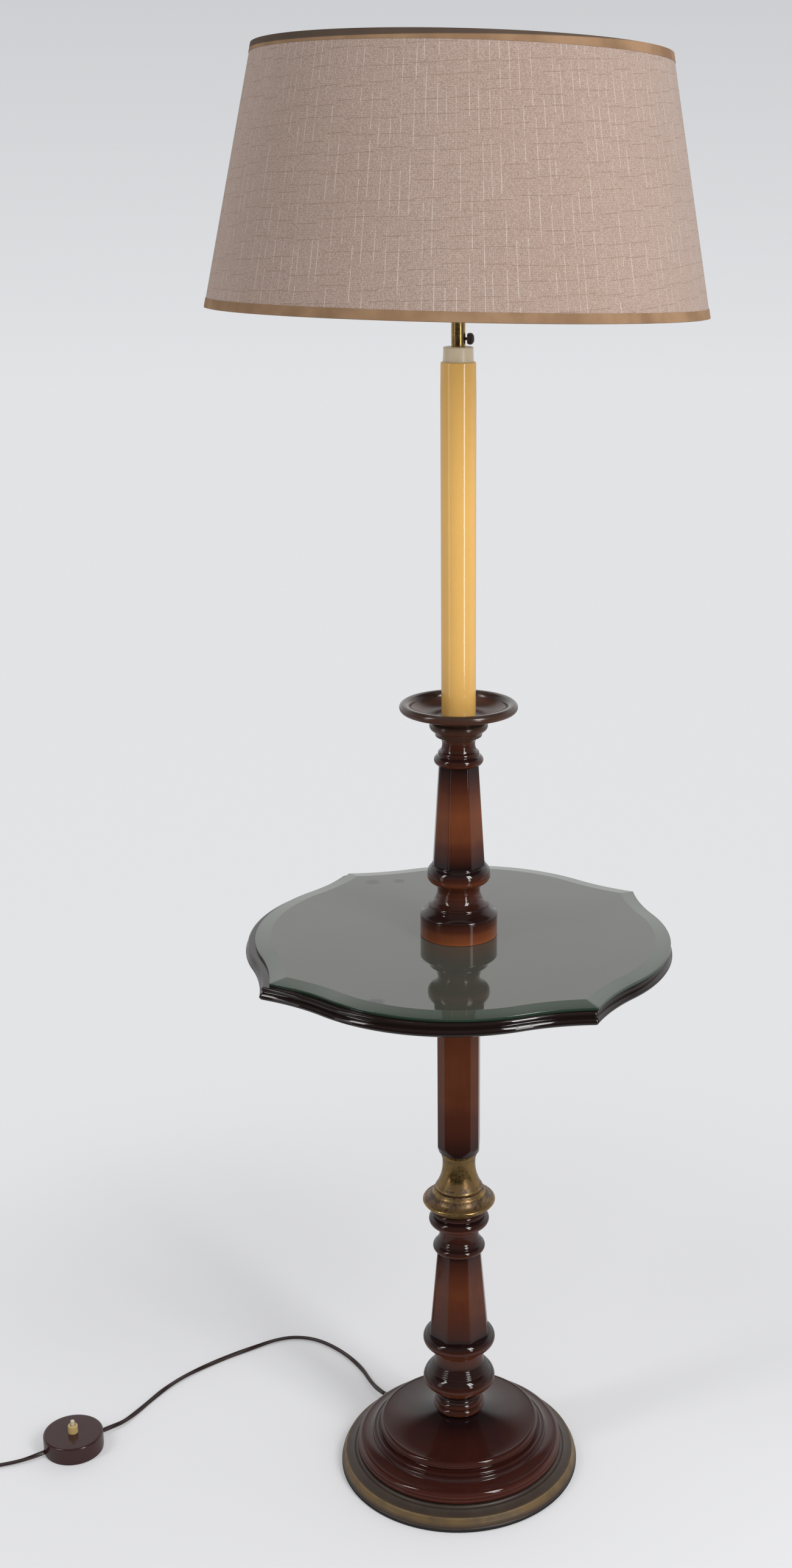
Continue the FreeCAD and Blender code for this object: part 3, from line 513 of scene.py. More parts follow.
def twill(name):
    """Taupe cloth with a fine diagonal weave, pale upright slubs and brown level ones."""
    g = Finish(name, Specular_IOR_Level=0.15, Sheen_Weight=0.15)
    round_it, up = around_shade(g)
    weave_pitch, bead_pitch = 1.45, 1.9
    weave = g.times(wave(g, g.plus(round_it, up), weave_pitch), wave(g, g.minus(round_it, up), weave_pitch))
    weave = g.plus(weave, g.times(g.minus(g.noise(700, detail=1), 0.5), 2.2))
    cloth = g.mix(g.span(weave, -1.0, 1.0), (0.192, 0.135, 0.108), (0.430, 0.326, 0.276))
    cloth = g.mix(g.span(g.noise(9, detail=3), 0.3, 0.7, 0.0, 0.10), cloth, (0.24, 0.17, 0.12))
    beads = g.span(wave(g, up, bead_pitch), -0.9, 0.6, 0.25, 0.95)
    pale = g.times(slub_lines(g, round_it, up, 10.5, 58.0, 0.7, 0.80, 3.0), beads)
    pale = g.times(pale, g.span(g.noise(45, detail=2), 0.35, 0.6, 0.25, 1.0))
    cloth = g.mix(pale, cloth, (0.50, 0.44, 0.39))
    beads = g.span(wave(g, round_it, bead_pitch), -0.9, 0.6, 0.25, 0.85)
    drift = g.times(g.minus(g.noise(5, detail=1), 0.5), 12.0)
    row = g.plus(up, g.plus(g.times(round_it, -0.04), drift))
    brown = g.times(slub_lines(g, row, round_it, 15.0, 29.0, 0.75, 0.92, 8.0), beads)
    g.colour(g.mix(brown, cloth, (0.200, 0.138, 0.096)))
    g.rough(0.9)
    g.bump(weave, 0.25, 0.0003)


SHADE_RIM = (1.6484, 1.6496)


def bound_edge(name):
    """Tan tape, handled brown here and there, with a dark line along the upper rim."""
    g = Finish(name, Specular_IOR_Level=0.15)
    tan = g.mix(g.span(g.noise(20, detail=4), 0.35, 0.7), (0.270, 0.166, 0.094), (0.185, 0.108, 0.060))
    rim = g.span(g.axes()[2], *SHADE_RIM, 0.0, 0.85)
    g.colour(g.mix(rim, tan, (0.045, 0.035, 0.030)))
    g.rough(0.85)
    g.bump(g.noise(900, detail=2), 0.3, 0.0002)


SMUDGES = [(-105.7, 169.3, 14), (-73.6, 173.5, 11), (-86.8, -197.8, 15)]
SMUDGE_HEIGHT = 0.7035
GLASS_EDGE = (0.6985, 0.7022)


def smoked(name):
    """Grey-green plate with three spots of dirt, seen as nearly opaque because dark wood lies under it."""
    g = Finish(name, IOR=1.52, Specular_IOR_Level=0.80)
    body = g.mix(g.noise(7, detail=5, roughness=0.6), (0.043, 0.043, 0.035), (0.065, 0.066, 0.054))
    flecks = g.noise(330, detail=3, roughness=0.7)
    for x, y, reach in SMUDGES:
        away = g.add("ShaderNodeVectorMath", operation="DISTANCE")
        g.feed_all(away, g.place, (x * MM, y * MM, SMUDGE_HEIGHT))
        near = g.span(away.outputs["Value"], 0.0, reach * MM, 1.0, 0.0)
        dirt = g.span(g.plus(flecks, g.times(near, 0.42)), 0.62, 0.70)
        body = g.mix(g.times(dirt, g.span(near, 0.0, 0.35)), body, (0.006, 0.005, 0.004))
    edge = g.mix(g.span(g.axes()[2], *GLASS_EDGE), (0.014, 0.030, 0.018), (0.052, 0.066, 0.052))
    g.colour(g.mix(g.painted_tone(), body, edge))
    g.rough(g.span(g.noise(30, detail=4), 0.4, 0.8, 0.03, 0.08))


def make_materials():
    lacquered("mahogany", (0.0095, 0.004, 0.0038), (0.060, 0.016, 0.008), (0.240, 0.070, 0.023))
    lacquered("table_wood", (0.006, 0.004, 0.0038), (0.014, 0.007, 0.006), (0.04, 0.016, 0.010))
    bronzed("bronzed_ring")
    tarnished("antique_brass", (0.46, 0.29, 0.105), (0.045, 0.022, 0.012), 0.17)
    tarnished("tube_brass", (0.46, 0.31, 0.12), (0.075, 0.042, 0.022), 0.18, scale=80)
    plain("cast_iron", (0.05, 0.05, 0.05), 0.8, metal=0.3)
    plain("steel", (0.45, 0.45, 0.44), 0.35, metal=1.0)
    plain("felt", (0.012, 0.012, 0.013), 0.95, scale=300, bump=0.5)
    smoked("smoked_glass")
    plain("candle_sleeve", (0.635, 0.372, 0.108), 0.08, speckle=0.03, bump=0)
    plain("candle_top", (0.56, 0.46, 0.32), 0.3)
    plain("knob_plastic", (0.026, 0.016, 0.014), 0.3)
    plain("holder_plastic", (0.02, 0.013, 0.01), 0.25)
    plain("ceramic", (0.8, 0.79, 0.74), 0.3)
    twill("shade_cloth")
    plain("shade_liner", (0.72, 0.70, 0.64), 0.55)
    bound_edge("shade_tape")
    plain("white_wire", (0.70, 0.69, 0.64), 0.4)
    plain("bulb_opal", (0.86, 0.86, 0.83), 0.2, speckle=0.02, bump=0)
    plain("bulb_metal", (0.7, 0.7, 0.7), 0.3, metal=1.0)
    plain("switch_brown", (0.038, 0.013, 0.012), 0.15, bump=0)
    plain("switch_cream", (0.50, 0.36, 0.15), 0.32)
    plain("button_cream", (0.52, 0.45, 0.33), 0.32)
    plain("flex_brown", (0.024, 0.010, 0.009), 0.35)
    plain("tie_black", (0.01, 0.01, 0.01), 0.6)
    plain("pin_nickel", (0.62, 0.60, 0.55), 0.25, metal=1.0)


# ---- cords -----------------------------------------------------------------------------------
CORD = 5.6
CORD_THICK = 2.9
WEB_DENT = 0.55
COIL = {"x": -652.0, "y": 14.0, "outer": 42.0, "pitch": 6.2, "turns": 7.25, "floor": 4.0}
TO_SWITCH = [
    (-96.7, 117.3, 8.5), (-106.3, 129.2, 7), (-117, 151, 3.8), (-130.5, 184, 2.9),
    (-156.2, 220.3, 2.9), (-191.6, 250.8, 2.9), (-224.4, 259.4, 2.9), (-252.6, 252.3, 2.9),
    (-279.8, 234.4, 2.9), (-310.7, 214.4, 2.9), (-341.1, 190.8, 2.9), (-367.9, 166.6, 2.9),
    (-388, 140.8, 2.9), (-403.1, 114.9, 2.9), (-417.5, 88.5, 3), (-431, 66.5, 4.3),
    (-444.3, 53.6, 6.2), (-459.02, 41.19, 7),
]
TO_COIL = [
    (-514.89, 4.21, 7), (-534.5, -7.4, 5.2), (-556, -14.6, 3.4), (-584, -22, 3.2),
    (-616.5, -28, 4), (-646.4, -28, 4),
]
INTO_COIL = (-652, -28, 4)
PLUG_HEIGHT = 7.1
COIL_START = 0.17


def coil_point(turns):
    """The put-away length: clockwise, spiralling in on the floor and out again on top."""
    half = COIL["turns"] / 2
    radius = COIL["outer"] - COIL["pitch"] * (half - abs(turns - half))
    climb = min(max((turns - half) * 2 + 0.5, 0), 1)
    angle = -pi / 2 - tau * turns
    height = COIL["floor"] + COIL["pitch"] * (3 * climb ** 2 - 2 * climb ** 3)
    return COIL["x"] + radius * cos(angle), COIL["y"] + radius * sin(angle), height


def drawn_line(points):
    """Points along the smooth curve that the route's points steer."""
    curve = bpy.data.curves.new("route", "CURVE")
    curve.dimensions = "3D"
    spline = curve.splines.new("NURBS")
    spline.points.add(len(points) - 1)
    for place, (x, y, z) in zip(spline.points, points):
        place.co = (x * MM, y * MM, z * MM, 1)
    spline.order_u = 3
    spline.use_endpoint_u = True
    spline.resolution_u = 6
    route = bpy.data.objects.new("route", curve)
    bpy.context.collection.objects.link(route)
    bpy.context.view_layer.update()
    mesh = bpy.data.meshes.new_from_object(route.evaluated_get(bpy.context.evaluated_depsgraph_get()))
    line = [v.co.copy() for v in mesh.vertices]
    bpy.data.objects.remove(route)
    bpy.data.meshes.remove(mesh)
    return line


def core_section():
    """Outline of the twin flex across its run: two round cores with a dent between them on both sides."""
    section = []
    offset, radius = (CORD - CORD_THICK) / 2, CORD_THICK / 2
    for side in (1, -1):
        for k in range(9):
            a = -pi / 2 + pi * k / 8 if side == 1 else pi / 2 + pi * k / 8
            section.append((side * offset + radius * cos(a), radius * sin(a)))
        section.append((0.0, side * (radius - WEB_DENT)))
    return section


def flat_flex(name, points, twist, nodes):
    """Twin flex in one jacket, as a mesh along the route; twist(s) is its roll at s metres."""
    line = drawn_line(points)
    section = core_section()
    rings, length = [], 0.0
    for k, at in enumerate(line):
        if k:
            length += (at - line[k - 1]).length
        along = (line[min(k + 1, len(line) - 1)] - line[max(k - 1, 0)]).normalized()
        across = along.cross(Vector((0, 0, 1))).normalized()
        rise = across.cross(along)
        a = twist(length)
        wide = across * cos(a) + rise * sin(a)
        thick = rise * cos(a) - across * sin(a)
        rings.append([tuple((at / MM) + wide * u + thick * v) for u, v in section])
    piece = loft(name, rings, "flex_brown", stands_for=nodes)


def bumps(length, *places):
    """Sum of smooth bumps: each place is (centre, half width, height)."""
    total = 0.0
    for centre, half, height in places:
        away = abs(length - centre) / half
        if away < 1:
            total += height * (1 - away * away) ** 2
    return total


def switch_lead_roll(s):
    return bumps(s, (0.05, 0.06, 1.2), (0.30, 0.07, 1.1), (0.44, 0.05, 1.3), (0.53, 0.05, 1.2))


def plug_lead_roll(s):
    """The lead turns on edge before it enters the coil."""
    on_edge = 1.0 if s > COIL_START else bumps(s, (COIL_START, 0.05, 1.0))
    return bumps(s, (0.0, 0.03, 1.2)) + pi / 2 * on_edge


def make_cords():
    flat_flex("flex_to_switch", TO_SWITCH, switch_lead_roll, ["cord_to_switch"])
    steps = int(COIL["turns"] * 16)
    coil = [coil_point(COIL["turns"] * k / steps) for k in range(1, steps)]
    x, y, z = coil_point(COIL["turns"])
    tail = [(x, y, z), (x, y + CORD, z), (x, y + CORD + 13, z), (x + 0.4, y + CORD + 26, z - 1.6),
            (x + 0.2, y + CORD + 40, PLUG_HEIGHT), (x + 0.2, y + CORD + 54, PLUG_HEIGHT)]
    route = TO_COIL + [INTO_COIL] + coil + tail
    nodes = ["cord_to_coil", "cord_coil", "cord_tail"]
    flat_flex("flex_to_plug", route, plug_lead_roll, nodes)


# ---- light and floor -------------------------------------------------------------------------
PAPER = (0.775, 0.780, 0.800)
PAPER_HIGH = (0.615, 0.625, 0.645)
WORLD_LEFT, WORLD_RIGHT, WORLD_BEHIND = 0.41, 0.66, 0.25
FLOOR_HALF = 14.0
AREA_LIGHTS = [
    # name, azimuth, distance, height, height aimed at, wide, tall, watts
    ("key_right_a", 38.5, 2.0, 2.15, 0.7, 0.26, 1.1, 16),
    ("key_right_b", 47.5, 2.0, 2.15, 0.7, 0.26, 1.1, 16),
    ("fill_left", -63.0, 2.0, 2.15, 0.7, 0.34, 1.1, 13),
    ("strip_right", 38.5, 2.0, 1.10, 1.1, 0.26, 1.15, 8.0),
    ("strip_left", -63.0, 2.0, 0.85, 0.85, 0.42, 1.25, 2.2),
]


def area_light(name, azimuth, distance, height, aim_height, wide, tall, watts):
    """A soft box that stands azimuth degrees round from the viewer's side, positive to the right."""
    a = radians(azimuth)
    place = Vector((distance * sin(a), -distance * cos(a), height))
    data = bpy.data.lights.new(name, "AREA")
    data.shape = "RECTANGLE"
    data.size = wide
    data.size_y = tall
    data.energy = watts
    light = bpy.data.objects.new(name, data)
    light.location = place
    light.rotation_mode = "QUATERNION"
    light.rotation_quaternion = (Vector((0, 0, aim_height)) - place).to_track_quat("-Z", "Y")
    bpy.context.collection.objects.link(light)


def level_length(g, x, y):
    return g.math("SQRT", g.plus(g.times(x, x), g.times(y, y)))


def mirrored_room(g):
    """What shiny parts mirror: pale walls at the sides and behind, a dark room on the viewer's side."""
    x, y, z = g.axes()
    level = level_length(g, x, y)
    front = g.math("DIVIDE", g.times(y, -1.0), g.math("MAXIMUM", level, 0.01))
    walls = g.times(g.span(y, -0.1, 0.6, 0.28, 1.0), g.span(z, 0.50, 0.68, 1.0, 0.12))
    gloom = g.span(z, 0.08, 0.36, 0.028, 0.17)
    return g.mix(g.span(front, 0.38, 0.72), walls, gloom)


def make_world():
    """The camera sees paper, shiny parts mirror the room, and everything else gets a plain light."""
    world = bpy.data.worlds.new("studio")
    bpy.context.scene.world = world
    world.use_nodes = True
    g = Graph(world.node_tree, "Generated")
    x, y, z = g.axes()
    backdrop = g.tree.nodes["Background"]
    fade = g.span(z, -0.105, 0.09, interpolation="LINEAR")
    g.feed(backdrop.inputs["Color"], g.mix(fade, PAPER, PAPER_HIGH))
    light = g.add("ShaderNodeBackground")
    g.feed(light.inputs["Color"], (1.0, 1.0, 1.0))
    sideways = g.span(x, -0.6, 0.6, WORLD_LEFT, WORLD_RIGHT, interpolation="LINEAR")
    behind = g.span(y, 0.1, 0.8, 0.0, WORLD_BEHIND, interpolation="LINEAR")
    g.feed(light.inputs["Strength"], g.plus(sideways, behind))
    room = g.add("ShaderNodeBackground")
    g.feed(room.inputs["Color"], mirrored_room(g))
    paths = g.add("ShaderNodeLightPath").outputs
    unseen = g.mix_shaders(paths["Is Glossy Ray"], light, room)
    seen = g.mix_shaders(paths["Is Camera Ray"], unseen, backdrop)
    g.feed(g.tree.nodes["World Output"].inputs["Surface"], seen.outputs[0])


def emission(g, colour):
    node = g.add("ShaderNodeEmission")
    g.feed(node.inputs["Color"], colour)
    return node


def paper_floor(name):
    """Matt paper that melts into the backdrop further out; mirrored, it is darker towards the viewer."""
    g = Finish(name, Roughness=0.75, Specular_IOR_Level=0.2)
    g.colour(g.mix(g.noise(1.6, detail=3), (0.765, 0.765, 0.78), (0.80, 0.80, 0.81)))
    x, y, _ = g.axes()
    melting = g.span(level_length(g, x, y), 0.36, 1.2, 0.22, 0.97)
    paper = g.mix_shaders(melting, g.shader, emission(g, PAPER))
    mirrored = g.add("ShaderNodeLightPath").outputs["Is Glossy Ray"]
    darker = g.times(mirrored, g.span(y, -0.60, -0.36, 1.0, 0.4))
    surface = g.mix_shaders(darker, paper, emission(g, (0.05, 0.05, 0.05)))
    g.feed(g.tree.nodes["Material Output"].inputs["Surface"], surface.outputs[0])


def make_studio():
    make_world()
    for light in AREA_LIGHTS:
        area_light(*light)
    paper_floor("studio_floor")
    mesh = bpy.data.meshes.new("floor")
    corners = [(-FLOOR_HALF, -FLOOR_HALF, 0), (FLOOR_HALF, -FLOOR_HALF, 0), (FLOOR_HALF, FLOOR_HALF, 0),
               (-FLOOR_HALF, FLOOR_HALF, 0)]
    mesh.from_pydata(corners, [], [(0, 1, 2, 3)])
    mesh.materials.append(LOOKS["studio_floor"])
    floor = bpy.data.objects.new("floor", mesh)
    bpy.context.collection.objects.link(floor)


# ---- turned parts ----------------------------------------------------------------------------
AXLE = 5.3


def curve(value, knots):
    """Straight runs between (place, height) knots."""
    if value <= knots[0][0]:
        return knots[0][1]
    for (a, low), (b, high) in zip(knots, knots[1:]):
        if value <= b:
            return low + (high - low) * (value - a) / (b - a)
    return knots[-1][1]


def by_height(knots):
    return lambda radius, z: curve(z, knots)


RING_TONE = [
    (4, 0.0), (6, 0.2), (7.2, 0.32), (10, 0.38), (12.5, 0.48), (16.2, 0.5), (16.9, 0.62), (17.3, 0.27),
    (18.5, 0.22), (20.4, 0.22), (22.5, 0.15)]
# Wood tones by height: high on bead bellies, low in coves and where parts meet; partly rubbed-through wear,
# partly painted shade in the hollows and painted glow on the beads.
FOOT_TONE = [
    (22.5, 0.35), (26, 0.46), (33, 0.46), (38, 0.30), (44, 0.22), (50, 0.28), (55, 0.40), (59, 0.28),
    (64, 0.20), (70, 0.09), (73, 0.08)]
LOWER_TONE = [
    (73, 0.45), (76, 0.68), (79, 0.55), (82.5, 0.28), (85, 0.32), (88, 0.42), (91, 0.28), (94, 0.2),
    (97, 0.14), (102, 0.3), (106, 0.6), (113, 0.64), (118, 0.5), (122, 0.28), (128, 0.14), (141, 0.16),
    (147, 0.4), (152, 0.52), (158, 0.6), (166, 0.64), (173, 0.42), (179, 0.14), (183, 0.1), (190, 0.3),
    (215, 0.52), (245, 0.58), (270, 0.52), (288, 0.3), (294, 0.14), (297, 0.45), (300, 0.32), (304, 0.14),
    (310, 0.22), (318, 0.34), (327, 0.5), (333, 0.58), (338, 0.24), (343, 0.12), (348, 0.3), (352, 0.2)]
UPPER_TONE = [
    (703, 0.98), (706, 0.8), (715, 0.66), (722, 0.42), (727, 0.26), (730, 0.12), (738, 0.16), (743, 0.24),
    (752, 0.4), (760, 0.5), (767, 0.66), (773, 0.6), (778, 0.32), (783, 0.1), (787, 0.06), (792, 0.14),
    (806, 0.44), (822, 0.64), (850, 0.71), (875, 0.55), (893, 0.24), (904, 0.1), (907, 0.5), (911, 0.3),
    (915, 0.12), (918, 0.3), (921, 0.2), (928, 0.36)]
PAN_TONE = [
    (931, 0.4), (936, 0.6), (939, 0.14), (943, 0.5), (948, 0.5), (953, 0.14), (957, 0.2), (962, 0.45),
    (966, 0.6), (969, 0.45), (972, 0.2), (975, 0.12)]
SHAFT_TONE = [
    (425, 0.1), (436, 0.2), (460, 0.42), (500, 0.62), (560, 0.66), (610, 0.55), (640, 0.3), (660, 0.12),
    (677, 0.08)]


def make_base():
    lathe("foot_ring", "base_ring", [
        (143.6, 3.5), (145.8, 3.5), (146.3, 4.6, 145.5, 5.6), (145, 6.6),
        (145.2, 9.5, 144, 12), (141.8, 16.6), (141, 17.1), (136, 18.2, 131.2, 20.4),
        (130.4, 20.8), (127.6, 20.9, 126, 22.5), (100, 22.5), (100, 20.3), (124.6, 20.3), (130, 18.2),
        (140.2, 14.6), (142, 11)], "bronzed_ring", segments=200, soft=0.25, tone=by_height(RING_TONE))
    lathe("foot_wood", "base_wood", [
        (AXLE, 22.5), (121.5, 22.5), (124.6, 24, 125.1, 30), (124.6, 35, 120.5, 37.6),
        (113, 38.6, 107.6, 41.4), (107, 44), (106.2, 45.4, 104.6, 45.6), (102.4, 45.8),
        (101.6, 48, 99.6, 48.4), (96.2, 48.6), (94.6, 50), (97, 51.6, 97.2, 54.4),
        (96.6, 58.4, 92.5, 59.8), (60, 63.2, 32, 71.4), (28, 73), (12.2, 73), (12.2, 62), (AXLE, 62)],
        "mahogany", segments=200, soft=0.6, tone=by_height(FOOT_TONE))


def ridges(radius, low):
    """Four fine ridges, each a step further in and up than the one before."""
    return [(radius - 0.3 - 1.33 * k, low + 1.3 + 2.13 * k, radius - 1.33 * (k + 1), low + 2.13 * (k + 1))
            for k in range(4)]


LOWER = [
    (AXLE, 62.4), (12, 62.4), (12, 73), (24.5, 73),
    (27.2, 75.6), (31.4, 80.1, 29.2, 83.9), (28.7, 84.3), (29.7, 87.4, 27.2, 91.4), (26.9, 94.2),
    (26.2, 94.9), (25.9, 99, 28.6, 102.6), (29, 102.8), (33.6, 105.6, 38.2, 109.9),
    (43.3, 115.4, 43, 122.9), (41.3, 126.6, 38.6, 129.8), (36.4, 131.6), (36, 132.1)] + ridges(36, 132.1) + [
    (29.9, 146, 29.6, 151.5), (31.2, 159.5, 36, 163.9), (43.9, 173.6, 36, 182.8),
    (35.15, 182.9, 1), (25.7, 294.2, 1),
    (26.4, 294.3), (31.3, 299.5, 29, 303.8), (27.2, 305.2), (26.6, 307.4, 25.6, 308.8),
    (25.2, 310, 24.3, 311.2), (23.6, 316, 23.5, 321), (24.9, 326.6, 28.4, 329.6),
    (36.1, 336.2, 30.6, 342.8), (30.4, 344.05), (33.8, 348, 30.4, 351.95), (AXLE, 352)]
UPPER = [
    (AXLE, 703), (43.4, 703), (44, 703.6), (44, 726.8), (43.8, 729.2, 42.4, 730.4),
    (39, 733.2, 36.1, 736.6), (34.5, 738.2), (33.9, 740.3, 31.9, 741.2), (31.6, 741.4), (30.2, 743),
    (27, 746.6, 25.4, 751), (24.2, 757, 25.6, 761.4), (28.4, 764.6, 31.9, 766.9),
    (35, 770, 35.9, 774.6), (34.8, 781.2, 31.1, 785.6), (30.2, 788), (28.9, 788.1, 1), (21.95, 904.4, 1),
    (22.4, 904.5), (27.65, 910, 23.6, 915.3), (22.9, 916.2), (22.7, 916.6), (23.1, 918.2, 20.4, 921),
    (18.6, 926.5, 18.6, 931), (AXLE, 931)]
PAN = [
    (AXLE, 931), (18.6, 931), (19.9, 934, 25.2, 937.3), (26, 938), (26.3, 940.6), (28.2, 943.6),
    (32.6, 949, 29.4, 954.7), (32.4, 955.8), (35.6, 957.6), (48, 961.6, 59, 965.8),
    (65.7, 970.4, 59.5, 975), (56, 974, 52.9, 969.6), (40, 962.8, 24, 961), (AXLE, 961)]


def make_column():
    lathe("column_low", "lower_column", LOWER, "mahogany", soft=0.5, segments=160, faces=octagon_faces(-91),
          tone=by_height(LOWER_TONE))
    lathe("column_high", "upper_column", UPPER, "mahogany", soft=0.5, segments=160, faces=octagon_faces(-87),
          tone=by_height(UPPER_TONE))
    # Painted shade: the pan's top round the candle's foot keeps a low tone.
    lathe("pan", "candle_pan", PAN, "mahogany", segments=160,
          tone=lambda r, z: curve(z, PAN_TONE) if r > 25 or z < 950 else 0.12)


SHAFT_TURN = -94
SHAFT_FLAT = 24.1
SHAFT_CHAMFER = (SHAFT_FLAT + 14.9) / sqrt(2)


def make_shaft():
    """A square shaft with chamfered edges, cut out of a round one that narrows to its foot."""
    faces = []
    for k in range(4):
        faces.append((radians(SHAFT_TURN + 90 * k), SHAFT_FLAT))
        faces.append((radians(SHAFT_TURN + 45 + 90 * k), SHAFT_CHAMFER))
    lathe("shaft_wood", "shaft", [
        (AXLE, 425.5), (22.4, 425.5), (23.9, 426.7, 24.7, 428.9), (34, 450), (34, 677), (AXLE, 677)],
        "mahogany", soft=0.2, segments=240, tone=by_height(SHAFT_TONE),
        reach=lambda t, r, z: min(r, polygon_share(t, faces, 160)) if r > 10 else r)


DISH_TONE = [
    (352, 0.2), (354, 0.3), (359, 0.5), (362.5, 0.6), (365, 0.2), (368, 0.1), (372, 0.15), (375, 0.55),
    (377.6, 0.15)]
NECK_TONE = [
    (378, 0.25), (380, 0.6), (382, 0.2), (387, 0.4), (398, 0.62), (412, 0.5), (418, 0.2), (420, 0.4),
    (424, 0.65), (425.5, 0.2)]


def make_brass():
    lathe("dish", "brass_dish", [
        (AXLE, 352), (32.4, 352), (33.6, 352.6), (37.5, 355, 42.2, 359.8), (43.1, 361.2),
        (43.2, 362.6, 42, 364), (40.2, 364.9), (39.6, 364.8), (36, 366.8, 32.9, 371.2),
        (31.6, 374, 30.2, 375.2), (29.7, 376.8, 28.6, 377.6), (27.3, 378), (AXLE, 378)],
        "antique_brass", tone=by_height(DISH_TONE))
    lathe("neck", "brass_neck", [
        (AXLE, 378), (27.3, 378), (28.2, 379.2, 27.5, 381), (22.4, 392.2, 20, 402.5),
        (19.5, 410.5, 20, 419.2), (20.7, 419.8), (21.2, 422.4, 20.8, 425), (20.3, 425.5), (AXLE, 425.5)],
        "antique_brass", tone=by_height(NECK_TONE))
    lathe("rising_tube", "outer_tube", [(6.06, 970), (7.5, 970), (7.5, 1400), (6.06, 1400)], "tube_brass",
          segments=64, tone=lambda r, z: 0.68, step=4)
    lathe("sliding_tube", "inner_tube", [(4.5, 1225), (6, 1225), (6, 1436), (4.5, 1436)], "tube_brass",
          segments=64, tone=lambda r, z: 0.9, step=8, body="stem")


def make_candle():
    lathe("candle", "candle_tube", [(17.5, 961), (19.1, 961), (19.1, 1343.2), (18.3, 1344), (17.5, 1344)],
          "candle_sleeve", segments=128, step=6)
    lathe("candle_plug", "candle_cap", [
        (7.55, 1335), (17.4, 1335), (17.4, 1343.4), (16.4, 1344), (15.9, 1357.1), (15.6, 1359, 13.8, 1359.5),
        (7.55, 1359.5)], "candle_top", segments=96)


SHADE_RINGS = [("ring_below", "shade_ring_lower", 1462.3), ("ring_above", "shade_ring_upper", 1469.5)]
RING_RADIUS = 28.0
RIBS = 48
RIB_DEPTH = 0.35


def make_holder():
    lathe("socket_cap", "holder_cap", [
        (6.05, 1428), (9.4, 1428), (10, 1429), (10, 1433), (17.6, 1436, 20.4, 1443), (20.4, 1448),
        (14, 1448), (14, 1440), (6.05, 1440)], "holder_plastic", segments=96, body="stem")
    lathe("socket_shell", "holder_shell", [
        (14.6, 1448), (20, 1448), (20, 1491), (19, 1492), (16.6, 1492), (14.6, 1487)], "holder_plastic",
        segments=96, body="stem")
    for name, node, low in SHADE_RINGS:
        lathe(name, node, [
            (20.1, low), (27.2, low), (RING_RADIUS, low + 0.8), (RING_RADIUS, low + 4.2), (27.2, low + 5),
            (20.1, low + 5)], "holder_plastic", segments=96, soft=0.5, body="stem",
            reach=lambda t, r, z: r - (RIB_DEPTH * (1 + cos(RIBS * t)) if r > RING_RADIUS - 0.5 else 0))


BULB_NECK = 1480.2
THREAD_PITCH = 3.6
THREAD_DEPTH = 0.5
THREAD_LOW, THREAD_HIGH = 1460, 1479
BULB_CAP_SHOULDER = 1459.6


def thread_radius(theta, radius, z):
    """The rolled thread of the bulb's cap."""
    if radius <= 12.9 or not THREAD_LOW < z < THREAD_HIGH:
        return radius
    return radius - THREAD_DEPTH * (1 + cos(tau * (z - BULB_CAP_SHOULDER) / THREAD_PITCH - theta)) / 2


def make_bulb():
    lathe("bulb_screw", "bulb_cap", [
        (0, 1454.2), (4.4, 1454.2), (5.2, 1455.2), (11.6, 1457.6), (13.2, BULB_CAP_SHOULDER),
        (13.2, BULB_NECK), (0, BULB_NECK)], "bulb_metal", segments=64, body="stem", reach=thread_radius)
    lathe("bulb", "bulb_glass", [
        (0, BULB_NECK), (12.9, BULB_NECK), (15, BULB_NECK + 16.2, 22.98, 1510.73), (30, 1530.02, 1, 1560),
        (0, 1560)], "bulb_opal", segments=96, body="stem")


# ---- table -----------------------------------------------------------------------------------
BULGE_RADIUS = 200.0
SIDE_REACH = 238.0
CORNER_REACH = 178.0
HALF_BULGE = asin(105.0 / BULGE_RADIUS)
TABLE_TURN = -10.8
BOARD_LOW, BOARD_HIGH = 681, 697.0
GLASS_SHIFT = 4.5
GLASS_HOLE = 15.0
HOLLOW_STEPS = 36
BULGE_STEPS = 42
BOARD_EDGE = [
    (-3, 0), (2.6, 0.8), (5.2, 2.6), (6.6, 5), (6.2, 7), (4.8, 8.8), (2.6, 9.8), (2.2, 10.4), (3.6, 11.4),
    (4.2, 13.6), (3.4, 15.2), (1.6, 16)]
GLASS_PROFILE = [
    (-0.6, BOARD_HIGH), (-0.1, BOARD_HIGH + 0.3), (0, BOARD_HIGH + 0.7), (0, 700.2), (-0.15, 700.5),
    (-0.6, 700.68), (-17.4, 702.92), (-18, 703)]


